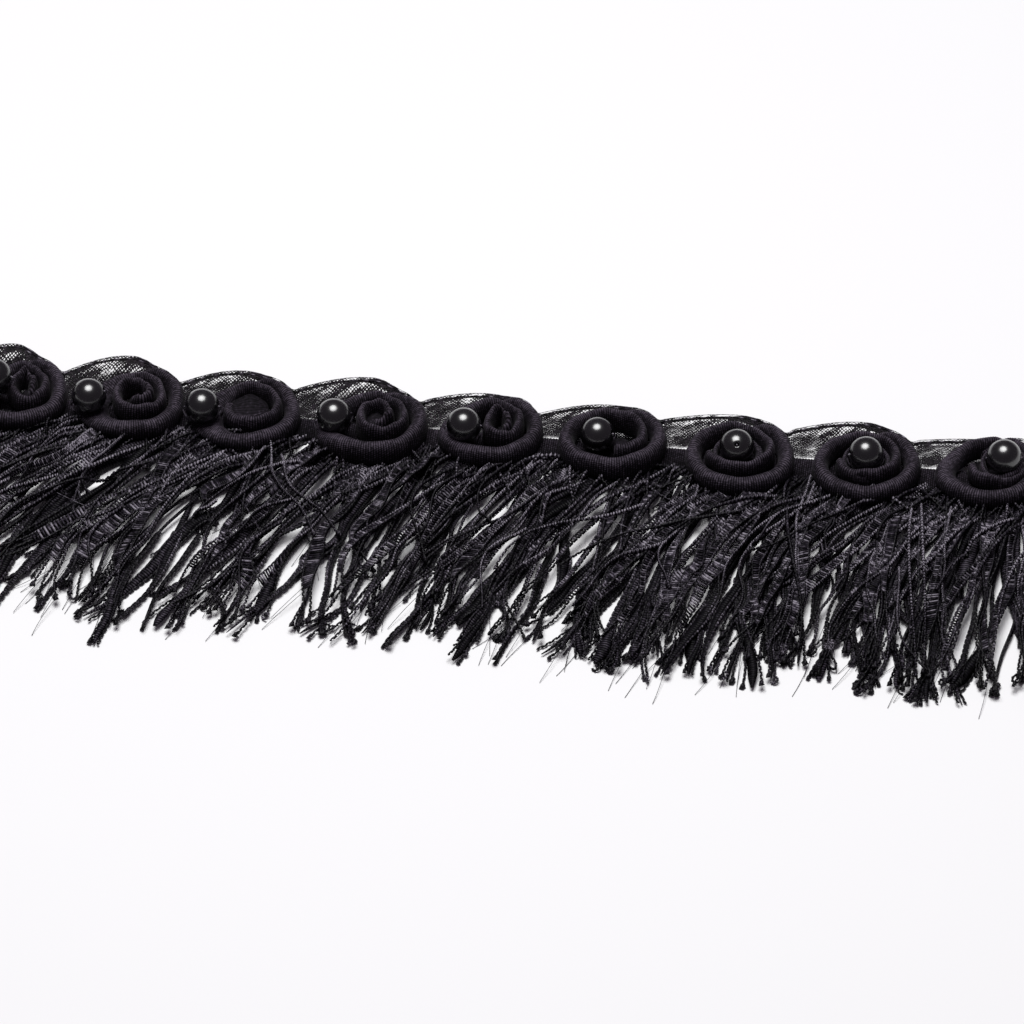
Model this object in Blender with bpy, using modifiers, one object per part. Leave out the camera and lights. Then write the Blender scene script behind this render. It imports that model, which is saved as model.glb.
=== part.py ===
"""Black trim with rolled rosettes, pearl beads, a gauze ribbon and a thick fringe.

The trim lies flat on a surface at z = 0. X runs along it, +Y points to the scalloped back edge and
-Y to the tips of the fringe. The origin is the middle of the heading tape's underside.
All sizes are metres.
"""
from collections import namedtuple
from math import atan2, cos, exp, floor, pi, radians, sin, sqrt, tan

import bmesh
import bpy
from mathutils import Vector

MM = 0.001
GAP = 0.3 * MM

# Heading tape
TAPE_LENGTH = 192 * MM
TAPE_WIDTH = 5.2 * MM
TAPE_THICKNESS = 1.5 * MM

# Rosettes, which sit on the tape, each wound clockwise from its back right into its middle
COIL_BASE = TAPE_THICKNESS + GAP
COIL_HEIGHT = 3.2 * MM
COIL_BACK_HIGHER = 0.9 * MM
COIL_RISE = 0.25 * MM
COIL_SIDES = 8
COIL_STEPS_PER_TURN = 15
COIL_START = radians(95)
STEPS_IN = (0.64, 1.64)
STEP_IN_TURN = 0.5
TURN_GAP = 0.22 * MM
INNER_BACK = 0.3 * MM
DIP_SPREAD = radians(58)
DIP_WIDENING = 2.6 * MM
DIP_WIDE_AT = 0.65
TUBE_OUTER = 2.9 * MM
TUBE_INNER = 1.8 * MM
TUBE_EYE = 1.7 * MM
TUBE_START = 0.45
TUBE_START_HEIGHT = 0.7
TOP_SHIFT = 0.2
TUBE_FADE = radians(70)
TUBE_END_TURN = 0.35
END_DROP = 0.3

# Pearl beads
PEARL_RADIUS = 3.0 * MM
PEARL_SEGMENTS = 12
PEARL_RINGS = 8

# Gauze ribbon
RIBBON_THICKNESS = 1.0 * MM
RIBBON_NEAR_EDGE = TAPE_WIDTH / 2 + GAP
RIBBON_SLIT = 0.6 * MM
RIBBON_COLUMNS = 81
RIBBON_ROWS = 4
RIBBON_FLAT_SHARE = 0.75
VALLEY_HEIGHT = 0.7 * MM
CREST_SHIFT = 0.8 * MM
VALLEY_SHIFT = 0.6 * MM
SLIT_START = 0.6
SLIT_SHARE = 0.35

# Fringe
LOCK_CELLS = 156
LOCK_ROW_HEIGHT = 0.7 * MM
LOCK_THICKNESS = 1.15 * MM
LOCK_WIDTH = 1.3 * MM
LOCK_TIP_WIDTH = 0.8 * MM
LOCK_TAPER_START = 0.55
LOCK_STEPS = 5
LOCK_STEP_POWER = 1.2
LOCK_BOW = 0.1
LOCK_UNEVEN = 3.0 * MM
LOCK_SCATTER = (12.9898, 78.233, 43758.5453)
LOWER_ROW_PHASE = 0.4
UPPER_ROW_PHASE = 2.1
UPPER_ROW_LEVEL = 1.5 * MM
UPPER_ROW_TURN = radians(5)
UPPER_ROW_SHORTER = 4 * MM
CLUMP_GROWTH = 1.3
ROSETTE_OVERHANG = 6.7 * MM

# Shading and sorting of faces
ROSETTE_SMOOTH = radians(50)
PEARL_SMOOTH = radians(60)
SAME_PLANE = 0.99
FACING = 0.9

# One row for each rosette, left to right, in millimetres but for turns and dip: x and y are the rosette's
# middle, half_width and half_depth its outline, inner_x and inner the shift and half width of the second
# turn, eye_x and eye those of the third, turns its winding, dip how far the left side is pressed down, flap
# the width of the tube's inner end, and bead_x and bead_y the bead's place from the middle.
Rosette = namedtuple(
    "Rosette", "x y half_width half_depth inner_x inner eye_x eye turns dip flap bead_x bead_y"
)
ROSETTES = [
    Rosette(-84.2, 0.9, 9.6, 8.2, 2.9, 3.7, 2.9, 2.0, 2.50, 0.80, 1.7, -2.9, -0.8),
    Rosette(-63.8, 0.8, 9.5, 8.2, 1.6, 4.9, 1.8, 2.3, 2.70, 0.92, 2.1, -6.8, -2.0),
    Rosette(-44.0, 0.5, 9.7, 8.2, 1.4, 5.2, 1.8, 2.6, 1.78, 0.88, 1.9, -7.0, -1.9),
    Rosette(-22.2, -0.3, 10.0, 8.4, 2.1, 4.8, 2.0, 2.2, 2.65, 0.76, 1.8, -6.0, -1.4),
    Rosette(-1.8, 0.9, 9.3, 8.0, 2.6, 3.8, 2.6, 2.0, 2.55, 0.82, 1.7, -4.0, -2.4),
    Rosette(19.4, 0.4, 9.5, 8.0, 0.3, 6.1, 1.4, 3.0, 1.50, 0.12, 2.2, -2.3, -0.3),
    Rosette(41.5, -0.8, 9.6, 8.3, 0.1, 6.0, 0.1, 6.0, 1.75, 0.05, 1.7, -0.4, 0.2),
    Rosette(63.2, -0.4, 9.4, 8.2, 0.4, 5.7, 0.2, 5.7, 1.75, 0.05, 1.7, 0.1, -0.2),
    Rosette(84.2, 0.8, 9.6, 8.1, 1.6, 5.4, 1.6, 5.4, 1.75, 0.30, 1.7, 2.7, -0.4),
]

# One row for each scallop of the ribbon, in millimetres: how far back its crest reaches and how high it
# stands behind the rosette, and how far back the dip on the rosette's right reaches.
Scallop = namedtuple("Scallop", "crest_y crest_z valley_y")
SCALLOPS = [
    Scallop(11.2, 4.0, 8.0),
    Scallop(11.1, 3.8, 7.8),
    Scallop(10.7, 3.3, 8.6),
    Scallop(10.9, 4.1, 8.4),
    Scallop(10.7, 2.9, 7.2),
    Scallop(10.2, 3.2, 8.4),
    Scallop(9.9, 4.1, 8.2),
    Scallop(9.8, 4.0, 8.3),
    Scallop(10.6, 2.8, 7.4),
]

# How the fringe lies: at x along the tape, lean is the strands' angle to the left in degrees, and reach
# is how far the tips lie from the tape's middle, in millimetres.
Sweep = namedtuple("Sweep", "x lean reach")
SWEEPS = [
    Sweep(-96, 33, 35),
    Sweep(-78, 31, 41),
    Sweep(-66, 29, 50),
    Sweep(-45, 26, 52),
    Sweep(-25, 23, 51),
    Sweep(0, 21, 51),
    Sweep(25, 18, 51),
    Sweep(45, 16, 54),
    Sweep(62, 15, 48),
    Sweep(78, 11, 53),
    Sweep(96, 1, 54),
]

# How the tips gather in clumps: each wave draws them sideways by its size over its length, in millimetres.
Wave = namedtuple("Wave", "size length")
CLUMPS = [
    Wave(0.7, 23),
    Wave(0.15, 9.1),
]


def new_material(name, colour, roughness):
    """A Principled material in one colour."""
    material = bpy.data.materials.new(name)
    material.use_nodes = True
    shader = material.node_tree.nodes["Principled BSDF"]
    shader.inputs["Base Color"].default_value = (*colour, 1.0)
    shader.inputs["Roughness"].default_value = roughness
    shader.inputs["Metallic"].default_value = 0.0
    return material


def add_part(name, bm, material, collection, smooth_angle=None):
    """Turn a bmesh into a named object in the collection."""
    bmesh.ops.recalc_face_normals(bm, faces=bm.faces[:])
    mesh = bpy.data.meshes.new(name)
    bm.to_mesh(mesh)
    bm.free()
    if smooth_angle is not None:
        mesh.shade_smooth()
        mesh.set_sharp_from_angle(angle=smooth_angle)
    part = bpy.data.objects.new(name, mesh)
    part.data.materials.append(material)
    collection.objects.link(part)
    return part


def smooth_mix(low, high, share):
    """Go from low to high along half a cosine wave as share goes from 0 to 1."""
    share = min(max(share, 0.0), 1.0)
    return low + (high - low) * (1 - cos(pi * share)) / 2


def read_table(rows, x, column):
    """Read a column of a table at x, in metres, along straight lines between its rows."""
    spot = x / MM
    for left, right in zip(rows, rows[1:]):
        if spot <= right.x:
            share = max(0.0, (spot - left.x) / (right.x - left.x))
            return getattr(left, column) * (1 - share) + getattr(right, column) * share
    return getattr(rows[-1], column)


def extrude_along(bm, face, rings):
    """Extrude a face through rings of points, given in the order of the face's own corners."""
    for ring in rings:
        face = bmesh.ops.extrude_discrete_faces(bm, faces=[face])["faces"][0]
        for corner, spot in zip(face.verts, ring):
            corner.co = spot


def between(first, second, third, inset):
    """Go from the outer turn's value to the second turn's and then the third's as inset goes 0, 1, 2."""
    if inset <= 1.0:
        return first + (second - first) * inset
    return second + (third - second) * (inset - 1.0)


def coil_section(row, turned):
    """Return one section of a rosette's tube, turned radians along its winding.

    The tube's middle runs clockwise round an ellipse, and steps in to the next turn's smaller ellipse at
    the left and back of each turn, where it stays clear of the outer turn. Its section is an ellipse that
    stands on the tape with its top drawn outwards. It is higher at the back, and lower and wider where
    the left side is pressed flat under the bead.
    """
    turn = turned / (2 * pi)
    angle = COIL_START - turned
    inset = sum(smooth_mix(0, 1, (turn - step_in) / STEP_IN_TURN) for step_in in STEPS_IN)
    begun = smooth_mix(TUBE_START, 1.0, turned / TUBE_FADE)
    ended = smooth_mix(0, 1, (turn - row.turns + TUBE_END_TURN) / TUBE_END_TURN)
    pressed = row.dip * exp(-((angle + pi) / DIP_SPREAD) ** 2)
    width = between(TUBE_OUTER, TUBE_INNER, TUBE_EYE, inset) * begun
    spread = DIP_WIDENING * smooth_mix(0, 1, pressed / DIP_WIDE_AT) * max(0.0, 1 - inset)
    spread += (row.flap * MM - TUBE_EYE) * ended
    second_room = TUBE_OUTER + TURN_GAP + TUBE_INNER / 2
    third_room = TUBE_OUTER + TUBE_INNER + 2 * TURN_GAP + TUBE_EYE / 2
    room = between(TUBE_OUTER / 2, second_room, third_room, inset)
    half = Vector((row.half_width, row.half_depth)) * MM
    inner_y = half.y - TUBE_OUTER - TURN_GAP - INNER_BACK
    outer = half - Vector((TUBE_OUTER, TUBE_OUTER)) / 2
    inner = Vector((row.inner * MM, inner_y)) - Vector((TUBE_INNER, TUBE_INNER)) / 2
    eye = Vector((row.eye * MM, inner_y * row.eye / row.inner)) - Vector((TUBE_EYE, TUBE_EYE)) / 2
    semi = between(outer, inner, eye, inset)
    spot = Vector((between(0.0, row.inner_x, row.eye_x, inset) * MM, INNER_BACK * min(inset, 1.0)))
    spot += Vector((semi.x * cos(angle), semi.y * sin(angle)))
    spot /= max(1.0, Vector((spot.x / (half.x - room), spot.y / (half.y - room))).length)
    middle = Vector((row.x * MM + spot.x, row.y * MM + spot.y, 0))
    outward = Vector((semi.y * cos(angle), semi.x * sin(angle), 0)).normalized()
    height = (COIL_HEIGHT + COIL_BACK_HIGHER * spot.y / half.y) * (1 - pressed) * (1 - END_DROP * ended)
    height *= TUBE_START_HEIGHT + (1 - TUBE_START_HEIGHT) * begun
    base = COIL_BASE + COIL_RISE * inset
    ring = []
    for side in range(COIL_SIDES):
        around = 2 * pi * (side + 0.5) / COIL_SIDES
        shift = TOP_SHIFT * width if sin(around) > cos(around) ** 2 else 0.0
        out = outward * ((width + spread) / 2 * cos(around) / cos(pi / COIL_SIDES) - spread / 2 + shift)
        up = base + height / 2 * (1 + sin(around) / cos(pi / COIL_SIDES))
        ring.append(middle + out + Vector((0, 0, min(max(up, base), base + height))))
    return ring


def make_rosette(name, row, material, collection):
    """Wind one rosette's tube and return the points of its sections."""
    steps = round(row.turns * COIL_STEPS_PER_TURN)
    rings = [coil_section(row, row.turns * 2 * pi * step / steps) for step in range(steps + 1)]
    bm = bmesh.new()
    bmesh.ops.create_circle(bm, cap_ends=True, segments=COIL_SIDES, radius=MM)
    first = bm.faces[:][0]
    for corner, spot in zip(first.verts, rings[0]):
        corner.co = spot
    extrude_along(bm, first, rings[1:])
    bmesh.ops.holes_fill(bm, edges=bm.edges[:], sides=0)
    add_part(name, bm, material, collection, ROSETTE_SMOOTH)
    return [point for ring in rings for point in ring]


def pearl_height(points, x, y):
    """Return the height at which a bead at x, y rests just clear of the tape and the points below it."""
    reach = PEARL_RADIUS + GAP
    heights = [TAPE_THICKNESS + reach]
    for point in points:
        apart = sqrt((point.x - x) ** 2 + (point.y - y) ** 2)
        if apart < reach:
            heights.append(point.z + sqrt(reach ** 2 - apart ** 2))
    return max(heights)


def make_pearl(name, row, points, material, collection):
    """Seat one bead on its rosette."""
    x = (row.x + row.bead_x) * MM
    y = (row.y + row.bead_y) * MM
    bm = bmesh.new()
    bmesh.ops.create_uvsphere(bm, u_segments=PEARL_SEGMENTS, v_segments=PEARL_RINGS, radius=PEARL_RADIUS)
    part = add_part(name, bm, material, collection, PEARL_SMOOTH)
    part.location = (x, y, pearl_height(points, x, y))


def ribbon_edge(x):
    """Return how far back the ribbon's scalloped edge reaches at x, and how high it stands there."""
    knots = [(-TAPE_LENGTH / 2, SCALLOPS[0].valley_y * MM, VALLEY_HEIGHT)]
    for row, scallop in zip(ROSETTES, SCALLOPS):
        knots.append((row.x * MM - CREST_SHIFT, scallop.crest_y * MM, scallop.crest_z * MM))
        right = (row.x + row.half_width) * MM + VALLEY_SHIFT
        knots.append((right, scallop.valley_y * MM, VALLEY_HEIGHT))
    for left, right in zip(knots, knots[1:]):
        if x <= right[0]:
            share = (x - left[0]) / (right[0] - left[0])
            return smooth_mix(left[1], right[1], share), smooth_mix(left[2], right[2], share)
    return knots[-1][1], knots[-1][2]


def nearest_rosette(x):
    """Return the distance from x to the nearest rosette's middle, as a share of its half width."""
    return min(abs(x / MM - row.x) / row.half_width for row in ROSETTES)


def make_ribbon(material, collection):
    """Lay the gauze ribbon behind the rosettes as a thin sheet with a scalloped, raised back edge."""
    bm = bmesh.new()
    bmesh.ops.create_grid(bm, x_segments=RIBBON_COLUMNS, y_segments=RIBBON_ROWS, size=0.5)
    for point in bm.verts:
        x = point.co.x * TAPE_LENGTH
        across = point.co.y + 0.5
        far_y, far_z = ribbon_edge(x)
        near_y = RIBBON_NEAR_EDGE + smooth_mix(0, RIBBON_SLIT, (nearest_rosette(x) - SLIT_START) / SLIT_SHARE)
        lift = max(0.0, (across - RIBBON_FLAT_SHARE) / (1 - RIBBON_FLAT_SHARE))
        point.co = (x, near_y + (far_y - near_y) * across, far_z * lift)
    for face in bm.faces:
        if face.normal.z < 0:
            face.normal_flip()
    mesh = bpy.data.meshes.new("gauze_ribbon")
    bm.to_mesh(mesh)
    bm.free()
    part = bpy.data.objects.new("gauze_ribbon", mesh)
    part.data.materials.append(material)
    collection.objects.link(part)
    solidify = part.modifiers.new("sheet", "SOLIDIFY")
    solidify.thickness = RIBBON_THICKNESS
    solidify.offset = 1.0


def clump(x, phase):
    """Return how far a lock's tip is drawn sideways, so that tips gather in clumps."""
    waves = enumerate(CLUMPS, start=1)
    return MM * sum(wave.size * sin(x / MM * 2 * pi / wave.length + number * phase) for number, wave in waves)


def uneven(index, phase):
    """Return a fixed number between -1 and 1 that jumps about from lock to lock."""
    first, second, third = LOCK_SCATTER
    wave = sin(index * first + phase * second) * third
    return 2 * (wave - floor(wave)) - 1


def lock_rings(x, index, upper):
    """Return the sections of one lock of the fringe, from just past its root to its tip.

    Each section is its middle, its heading, its width and its height. The lock leaves the tape straight,
    bows over to its lean and rests level.
    """
    phase = UPPER_ROW_PHASE if upper else LOWER_ROW_PHASE
    lean = radians(read_table(SWEEPS, x, "lean")) + (UPPER_ROW_TURN if upper else 0.0)
    reach = read_table(SWEEPS, x, "reach") * MM + uneven(index, phase) * LOCK_UNEVEN
    run = reach - TAPE_WIDTH / 2 - (UPPER_ROW_SHORTER if upper else 0.0)
    sections = []
    for step in range(LOCK_STEPS):
        along = ROSETTE_OVERHANG / run
        along += (1 - along) * (step / (LOCK_STEPS - 1)) ** LOCK_STEP_POWER
        bow = LOCK_BOW * sin(pi * along)
        side = -run * tan(lean) * (along + bow) + clump(x, phase) * smooth_mix(0, 1, along * CLUMP_GROWTH)
        low = 0.0
        if upper:
            low = UPPER_ROW_LEVEL if step > 0 else TAPE_THICKNESS - LOCK_ROW_HEIGHT
        tall = LOCK_THICKNESS if step > 0 else LOCK_ROW_HEIGHT
        wide = smooth_mix(LOCK_WIDTH, LOCK_TIP_WIDTH, (along - LOCK_TAPER_START) / (1 - LOCK_TAPER_START))
        heading = atan2(tan(lean) * (1 + LOCK_BOW * pi * cos(pi * along)), 1)
        spot = Vector((x + side, -TAPE_WIDTH / 2 - run * along, low))
        sections.append((spot, heading, wide, tall))
    return sections


def make_fringe(material, collection):
    """Make the heading tape and draw the locks of the fringe out of its front edge."""
    bm = bmesh.new()
    bmesh.ops.create_cube(bm, size=1.0)
    for point in bm.verts:
        point.co = (point.co.x * TAPE_LENGTH, point.co.y * TAPE_WIDTH, (point.co.z + 0.5) * TAPE_THICKNESS)
    cell = TAPE_LENGTH / LOCK_CELLS
    for cut in range(1, LOCK_CELLS):
        everything = bm.verts[:] + bm.edges[:] + bm.faces[:]
        spot = (-TAPE_LENGTH / 2 + cut * cell, 0, 0)
        bmesh.ops.bisect_plane(bm, geom=everything, plane_co=spot, plane_no=(1, 0, 0))
    for level in (LOCK_ROW_HEIGHT, TAPE_THICKNESS - LOCK_ROW_HEIGHT):
        everything = bm.verts[:] + bm.edges[:] + bm.faces[:]
        bmesh.ops.bisect_plane(bm, geom=everything, plane_co=(0, 0, level), plane_no=(0, 0, 1))
    spare = [edge for edge in bm.edges if is_spare_cut(edge)]
    bmesh.ops.dissolve_edges(bm, edges=spare, use_verts=True)
    bm.normal_update()
    roots = [face for face in bm.faces if face.normal.y < -FACING]
    for face in roots:
        middle = face.calc_center_median()
        index = int((middle.x + TAPE_LENGTH / 2) / cell)
        upper = middle.z > TAPE_THICKNESS - LOCK_ROW_HEIGHT
        lower = middle.z < LOCK_ROW_HEIGHT
        wanted = upper if index % 2 == 0 else lower
        if index in (0, LOCK_CELLS - 1) or not wanted:
            continue
        rings = []
        for spot, heading, wide, tall in lock_rings(middle.x, index, upper):
            across = Vector((cos(heading), -sin(heading), 0))
            ring = []
            for corner in face.verts:
                side = 1 if corner.co.x > middle.x else -1
                up = tall if corner.co.z > middle.z else 0.0
                ring.append(spot + across * (side * wide / 2) + Vector((0, 0, up)))
            rings.append(ring)
        extrude_along(bm, face, rings)
    add_part("fringe_band", bm, material, collection)


def is_spare_cut(edge):
    """Say whether an edge left by a cut lies inside the tape's top, underside or back."""
    if len(edge.link_faces) != 2:
        return False
    first, second = (face.normal for face in edge.link_faces)
    return first.dot(second) > SAME_PLANE and first.y > -FACING and abs(first.x) < FACING


def main():
    for old in list(bpy.data.objects):
        bpy.data.objects.remove(old, do_unlink=True)
    collection = bpy.data.collections.new("rosette_fringe_trim")
    bpy.context.scene.collection.children.link(collection)
    ribbed = new_material("ribbed_fabric", (0.012, 0.011, 0.014), 0.85)
    gauze = new_material("gauze", (0.02, 0.019, 0.022), 0.6)
    yarn = new_material("fringe_yarn", (0.012, 0.012, 0.015), 0.55)
    pearl = new_material("pearl", (0.004, 0.004, 0.005), 0.12)
    make_fringe(yarn, collection)
    make_ribbon(gauze, collection)
    for number, row in enumerate(ROSETTES, start=1):
        points = make_rosette(f"rosette_{number}", row, ribbed, collection)
        make_pearl(f"pearl_{number}", row, points, pearl, collection)


main()
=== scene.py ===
# %% [markdown]
# # A rosette fringe trim, finished in cloth, thread and pearl
#
# The solids of this trim say where everything is and how large. This lesson dresses them: ribbed
# tubes for the rosettes, glossy beads, a sheer gauze ribbon, a woven heading tape and a fringe of
# chain-stitched yarn. X runs along the trim, +Y points to the scalloped edge, -Y to the fringe's
# tips, and Z is up.

# %% Load the frame
from collections import namedtuple

import bpy
import numpy as np
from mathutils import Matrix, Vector


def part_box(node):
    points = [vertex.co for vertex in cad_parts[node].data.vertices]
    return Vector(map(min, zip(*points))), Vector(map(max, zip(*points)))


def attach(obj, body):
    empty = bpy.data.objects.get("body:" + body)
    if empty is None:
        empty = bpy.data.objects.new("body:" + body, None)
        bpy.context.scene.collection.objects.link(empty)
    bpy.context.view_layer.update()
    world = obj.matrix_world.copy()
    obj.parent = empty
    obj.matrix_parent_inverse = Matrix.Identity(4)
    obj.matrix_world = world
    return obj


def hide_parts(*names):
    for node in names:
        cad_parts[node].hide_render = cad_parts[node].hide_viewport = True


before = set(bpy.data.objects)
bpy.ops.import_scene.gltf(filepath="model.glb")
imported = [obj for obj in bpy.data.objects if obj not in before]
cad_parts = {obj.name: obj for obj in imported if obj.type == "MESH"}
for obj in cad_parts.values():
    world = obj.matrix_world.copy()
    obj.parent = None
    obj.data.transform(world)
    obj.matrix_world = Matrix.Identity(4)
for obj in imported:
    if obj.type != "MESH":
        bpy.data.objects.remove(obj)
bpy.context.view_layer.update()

MM = 0.001
TAU = 2 * np.pi
print("nodes:", len(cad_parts))

# %% [markdown]
# ## The sizes that the solids were made from
#
# A dressed piece has to fill the space that its solid holds. The surest way is to start from the
# same few numbers, so the tables of the rosettes, the scallops and the sweep of the fringe are
# repeated here.

# %% Sizes of the trim
TAPE_LENGTH = 192 * MM
TAPE_WIDTH = 5.2 * MM
TAPE_THICKNESS = 1.5 * MM
GAP = 0.3 * MM
COIL_BASE = TAPE_THICKNESS + GAP
COIL_HEIGHT = 3.2 * MM
COIL_BACK_HIGHER = 0.9 * MM
COIL_RISE = 0.25 * MM
COIL_START = np.radians(95)
STEPS_IN = (0.64, 1.64)
STEP_IN_TURN = 0.5
TURN_GAP = 0.22 * MM
INNER_BACK = 0.3 * MM
DIP_SPREAD = np.radians(58)
DIP_WIDENING = 2.6 * MM
DIP_WIDE_AT = 0.65
TUBE_OUTER = 2.9 * MM
TUBE_INNER = 1.8 * MM
TUBE_EYE = 1.7 * MM
TUBE_START = 0.45
TUBE_START_HEIGHT = 0.7
TUBE_FADE = np.radians(70)
TUBE_END_TURN = 0.35
END_DROP = 0.3
PEARL_RADIUS = 3.0 * MM

Rosette = namedtuple(
    "Rosette", "x y half_width half_depth inner_x inner eye_x eye turns dip flap rise")
ROSETTES = [Rosette(*row) for row in [
    (-84.2, 0.9, 9.6, 8.2, 2.9, 3.7, 2.9, 2.0, 2.50, 0.80, 1.7, 0.3),
    (-63.8, 0.8, 9.5, 8.2, 1.6, 4.9, 1.8, 2.3, 2.70, 0.92, 2.1, 0.4),
    (-44.0, 0.5, 9.7, 8.2, 1.4, 5.2, 1.8, 2.6, 1.78, 0.88, 1.9, 0.0),
    (-22.2, -0.3, 10.0, 8.4, 2.1, 4.8, 2.0, 2.2, 2.65, 0.50, 1.8, 1.8),
    (-1.8, 0.9, 9.3, 8.0, 2.6, 3.8, 2.6, 2.0, 2.55, 0.30, 1.7, 0.9),
    (19.4, 0.4, 9.5, 8.0, 0.3, 6.1, 1.4, 3.0, 1.50, 0.12, 2.2, 1.5),
    (41.5, -0.8, 9.6, 8.3, 0.1, 6.0, 0.1, 6.0, 1.75, 0.05, 1.7, 0.4),
    (63.2, -0.4, 9.4, 8.2, 0.4, 5.7, 0.2, 5.7, 1.75, 0.05, 1.7, 0.4),
    (84.2, 0.8, 9.6, 8.1, 1.6, 5.4, 1.6, 5.4, 1.75, 0.30, 1.7, 0.5),
]]
# The last column is how far each crest of the sheet has settled below the top of its solid
Scallop = namedtuple("Scallop", "crest_y crest_z valley_y settle")
SCALLOPS = [Scallop(*row) for row in [
    (11.2, 4.0, 8.0, 0.0), (11.1, 3.8, 7.8, 0.4), (10.7, 3.3, 8.6, 0.9), (10.9, 4.1, 8.4, 1.1),
    (10.7, 2.9, 7.2, 1.3), (10.2, 3.2, 8.4, 1.5), (9.9, 4.1, 8.2, 2.1), (9.8, 4.0, 8.3, 1.2),
    (10.6, 2.8, 7.4, 2.7),
]]
# x along the tape, lean of the strands to the left in degrees, and how far the tips lie from its
# middle
SWEEPS = np.array([
    (-96, 33, 35), (-78, 31, 41), (-66, 29, 50), (-45, 26, 52), (-25, 23, 51), (0, 21, 51),
    (25, 18, 51), (45, 16, 54), (62, 15, 48), (78, 11, 53), (96, 1, 54),
], dtype=float)
LEANS, REACHES = SWEEPS.T[[0, 1]], SWEEPS.T[[0, 2]]
print("rosettes:", len(ROSETTES), "from", ROSETTES[0].x, "to", ROSETTES[-1].x, "mm")

# %% [markdown]
# ## Tools for surfaces made of arrays
#
# Every new piece here is a grid of points worked out by numpy in one go. A tube is a ring of points
# carried along a path. A sheet is a grid. Both become meshes with `foreach_set`, which is fast
# enough for hundreds of cords in one mesh, and both get a UV map in millimetres, so a weave can
# follow the cloth.

# %% Helpers for grids, tubes and sheets
LEAST_HEIGHT = 0.02 * MM
# Nearly straight up, but never quite along a cord
NEARLY_UP = np.array([0.0, 0.0, 1.0]) + 1e-4


def shares(count):
    """Equal steps from 0 to 1."""
    return np.linspace(0.0, 1.0, count)


def circle(sides):
    """The angles of equal steps once round."""
    return TAU * np.arange(sides) / sides


def smooth_mix(share, low=0.0, high=1.0):
    """Go from low to high along half a cosine wave as share goes from 0 to 1."""
    return low + (high - low) * (1 - np.cos(np.pi * np.clip(share, 0.0, 1.0))) / 2


def unit(vectors):
    """Scale vectors in an array's last axis to length one."""
    return vectors / np.maximum(np.linalg.norm(vectors, axis=-1, keepdims=True), 1e-12)


def lengths_along(paths):
    """Distance along each path from its first point: the running sum of the steps."""
    steps = np.linalg.norm(np.diff(paths, axis=-2), axis=-1)
    start = np.zeros(steps.shape[:-1] + (1,))
    return np.concatenate([start, np.cumsum(steps, axis=-1)], axis=-1)


def single(values):
    """Values as one run of single-precision numbers, which is what a mesh takes."""
    return np.ascontiguousarray(values, dtype=np.float32).ravel()


def mesh_object(name, points, faces, material, tone=None):
    """Put points (n, 3) and faces into a new object, with a UV map and maybe a tone for each point.

    Faces come in groups with one number of corners: the points that a group's corners are at,
    (faces, corners), and the uvs of those corners.
    """
    corners = np.concatenate([group.ravel() for group, _ in faces])
    sizes = np.concatenate([np.full(len(group), group.shape[1]) for group, _ in faces])
    uvs = np.concatenate([group_uvs.reshape(-1, 2) for _, group_uvs in faces])
    mesh = bpy.data.meshes.new(name)
    mesh.vertices.add(len(points))
    mesh.vertices.foreach_set("co", single(points))
    mesh.loops.add(len(corners))
    mesh.loops.foreach_set("vertex_index", corners.astype(np.int32))
    mesh.polygons.add(len(sizes))
    mesh.polygons.foreach_set("loop_start", (np.cumsum(sizes) - sizes).astype(np.int32))
    mesh.polygons.foreach_set("use_smooth", np.ones(len(sizes), dtype=bool))
    mesh.uv_layers.new(name="cloth").uv.foreach_set("vector", single(uvs))
    if tone is not None:
        mesh.attributes.new("tone", "FLOAT", "POINT").data.foreach_set("value", single(tone))
    mesh.update(calc_edges=True)
    mesh.validate()
    mesh.materials.append(material)
    piece = bpy.data.objects.new(name, mesh)
    bpy.context.scene.collection.objects.link(piece)
    return piece


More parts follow.
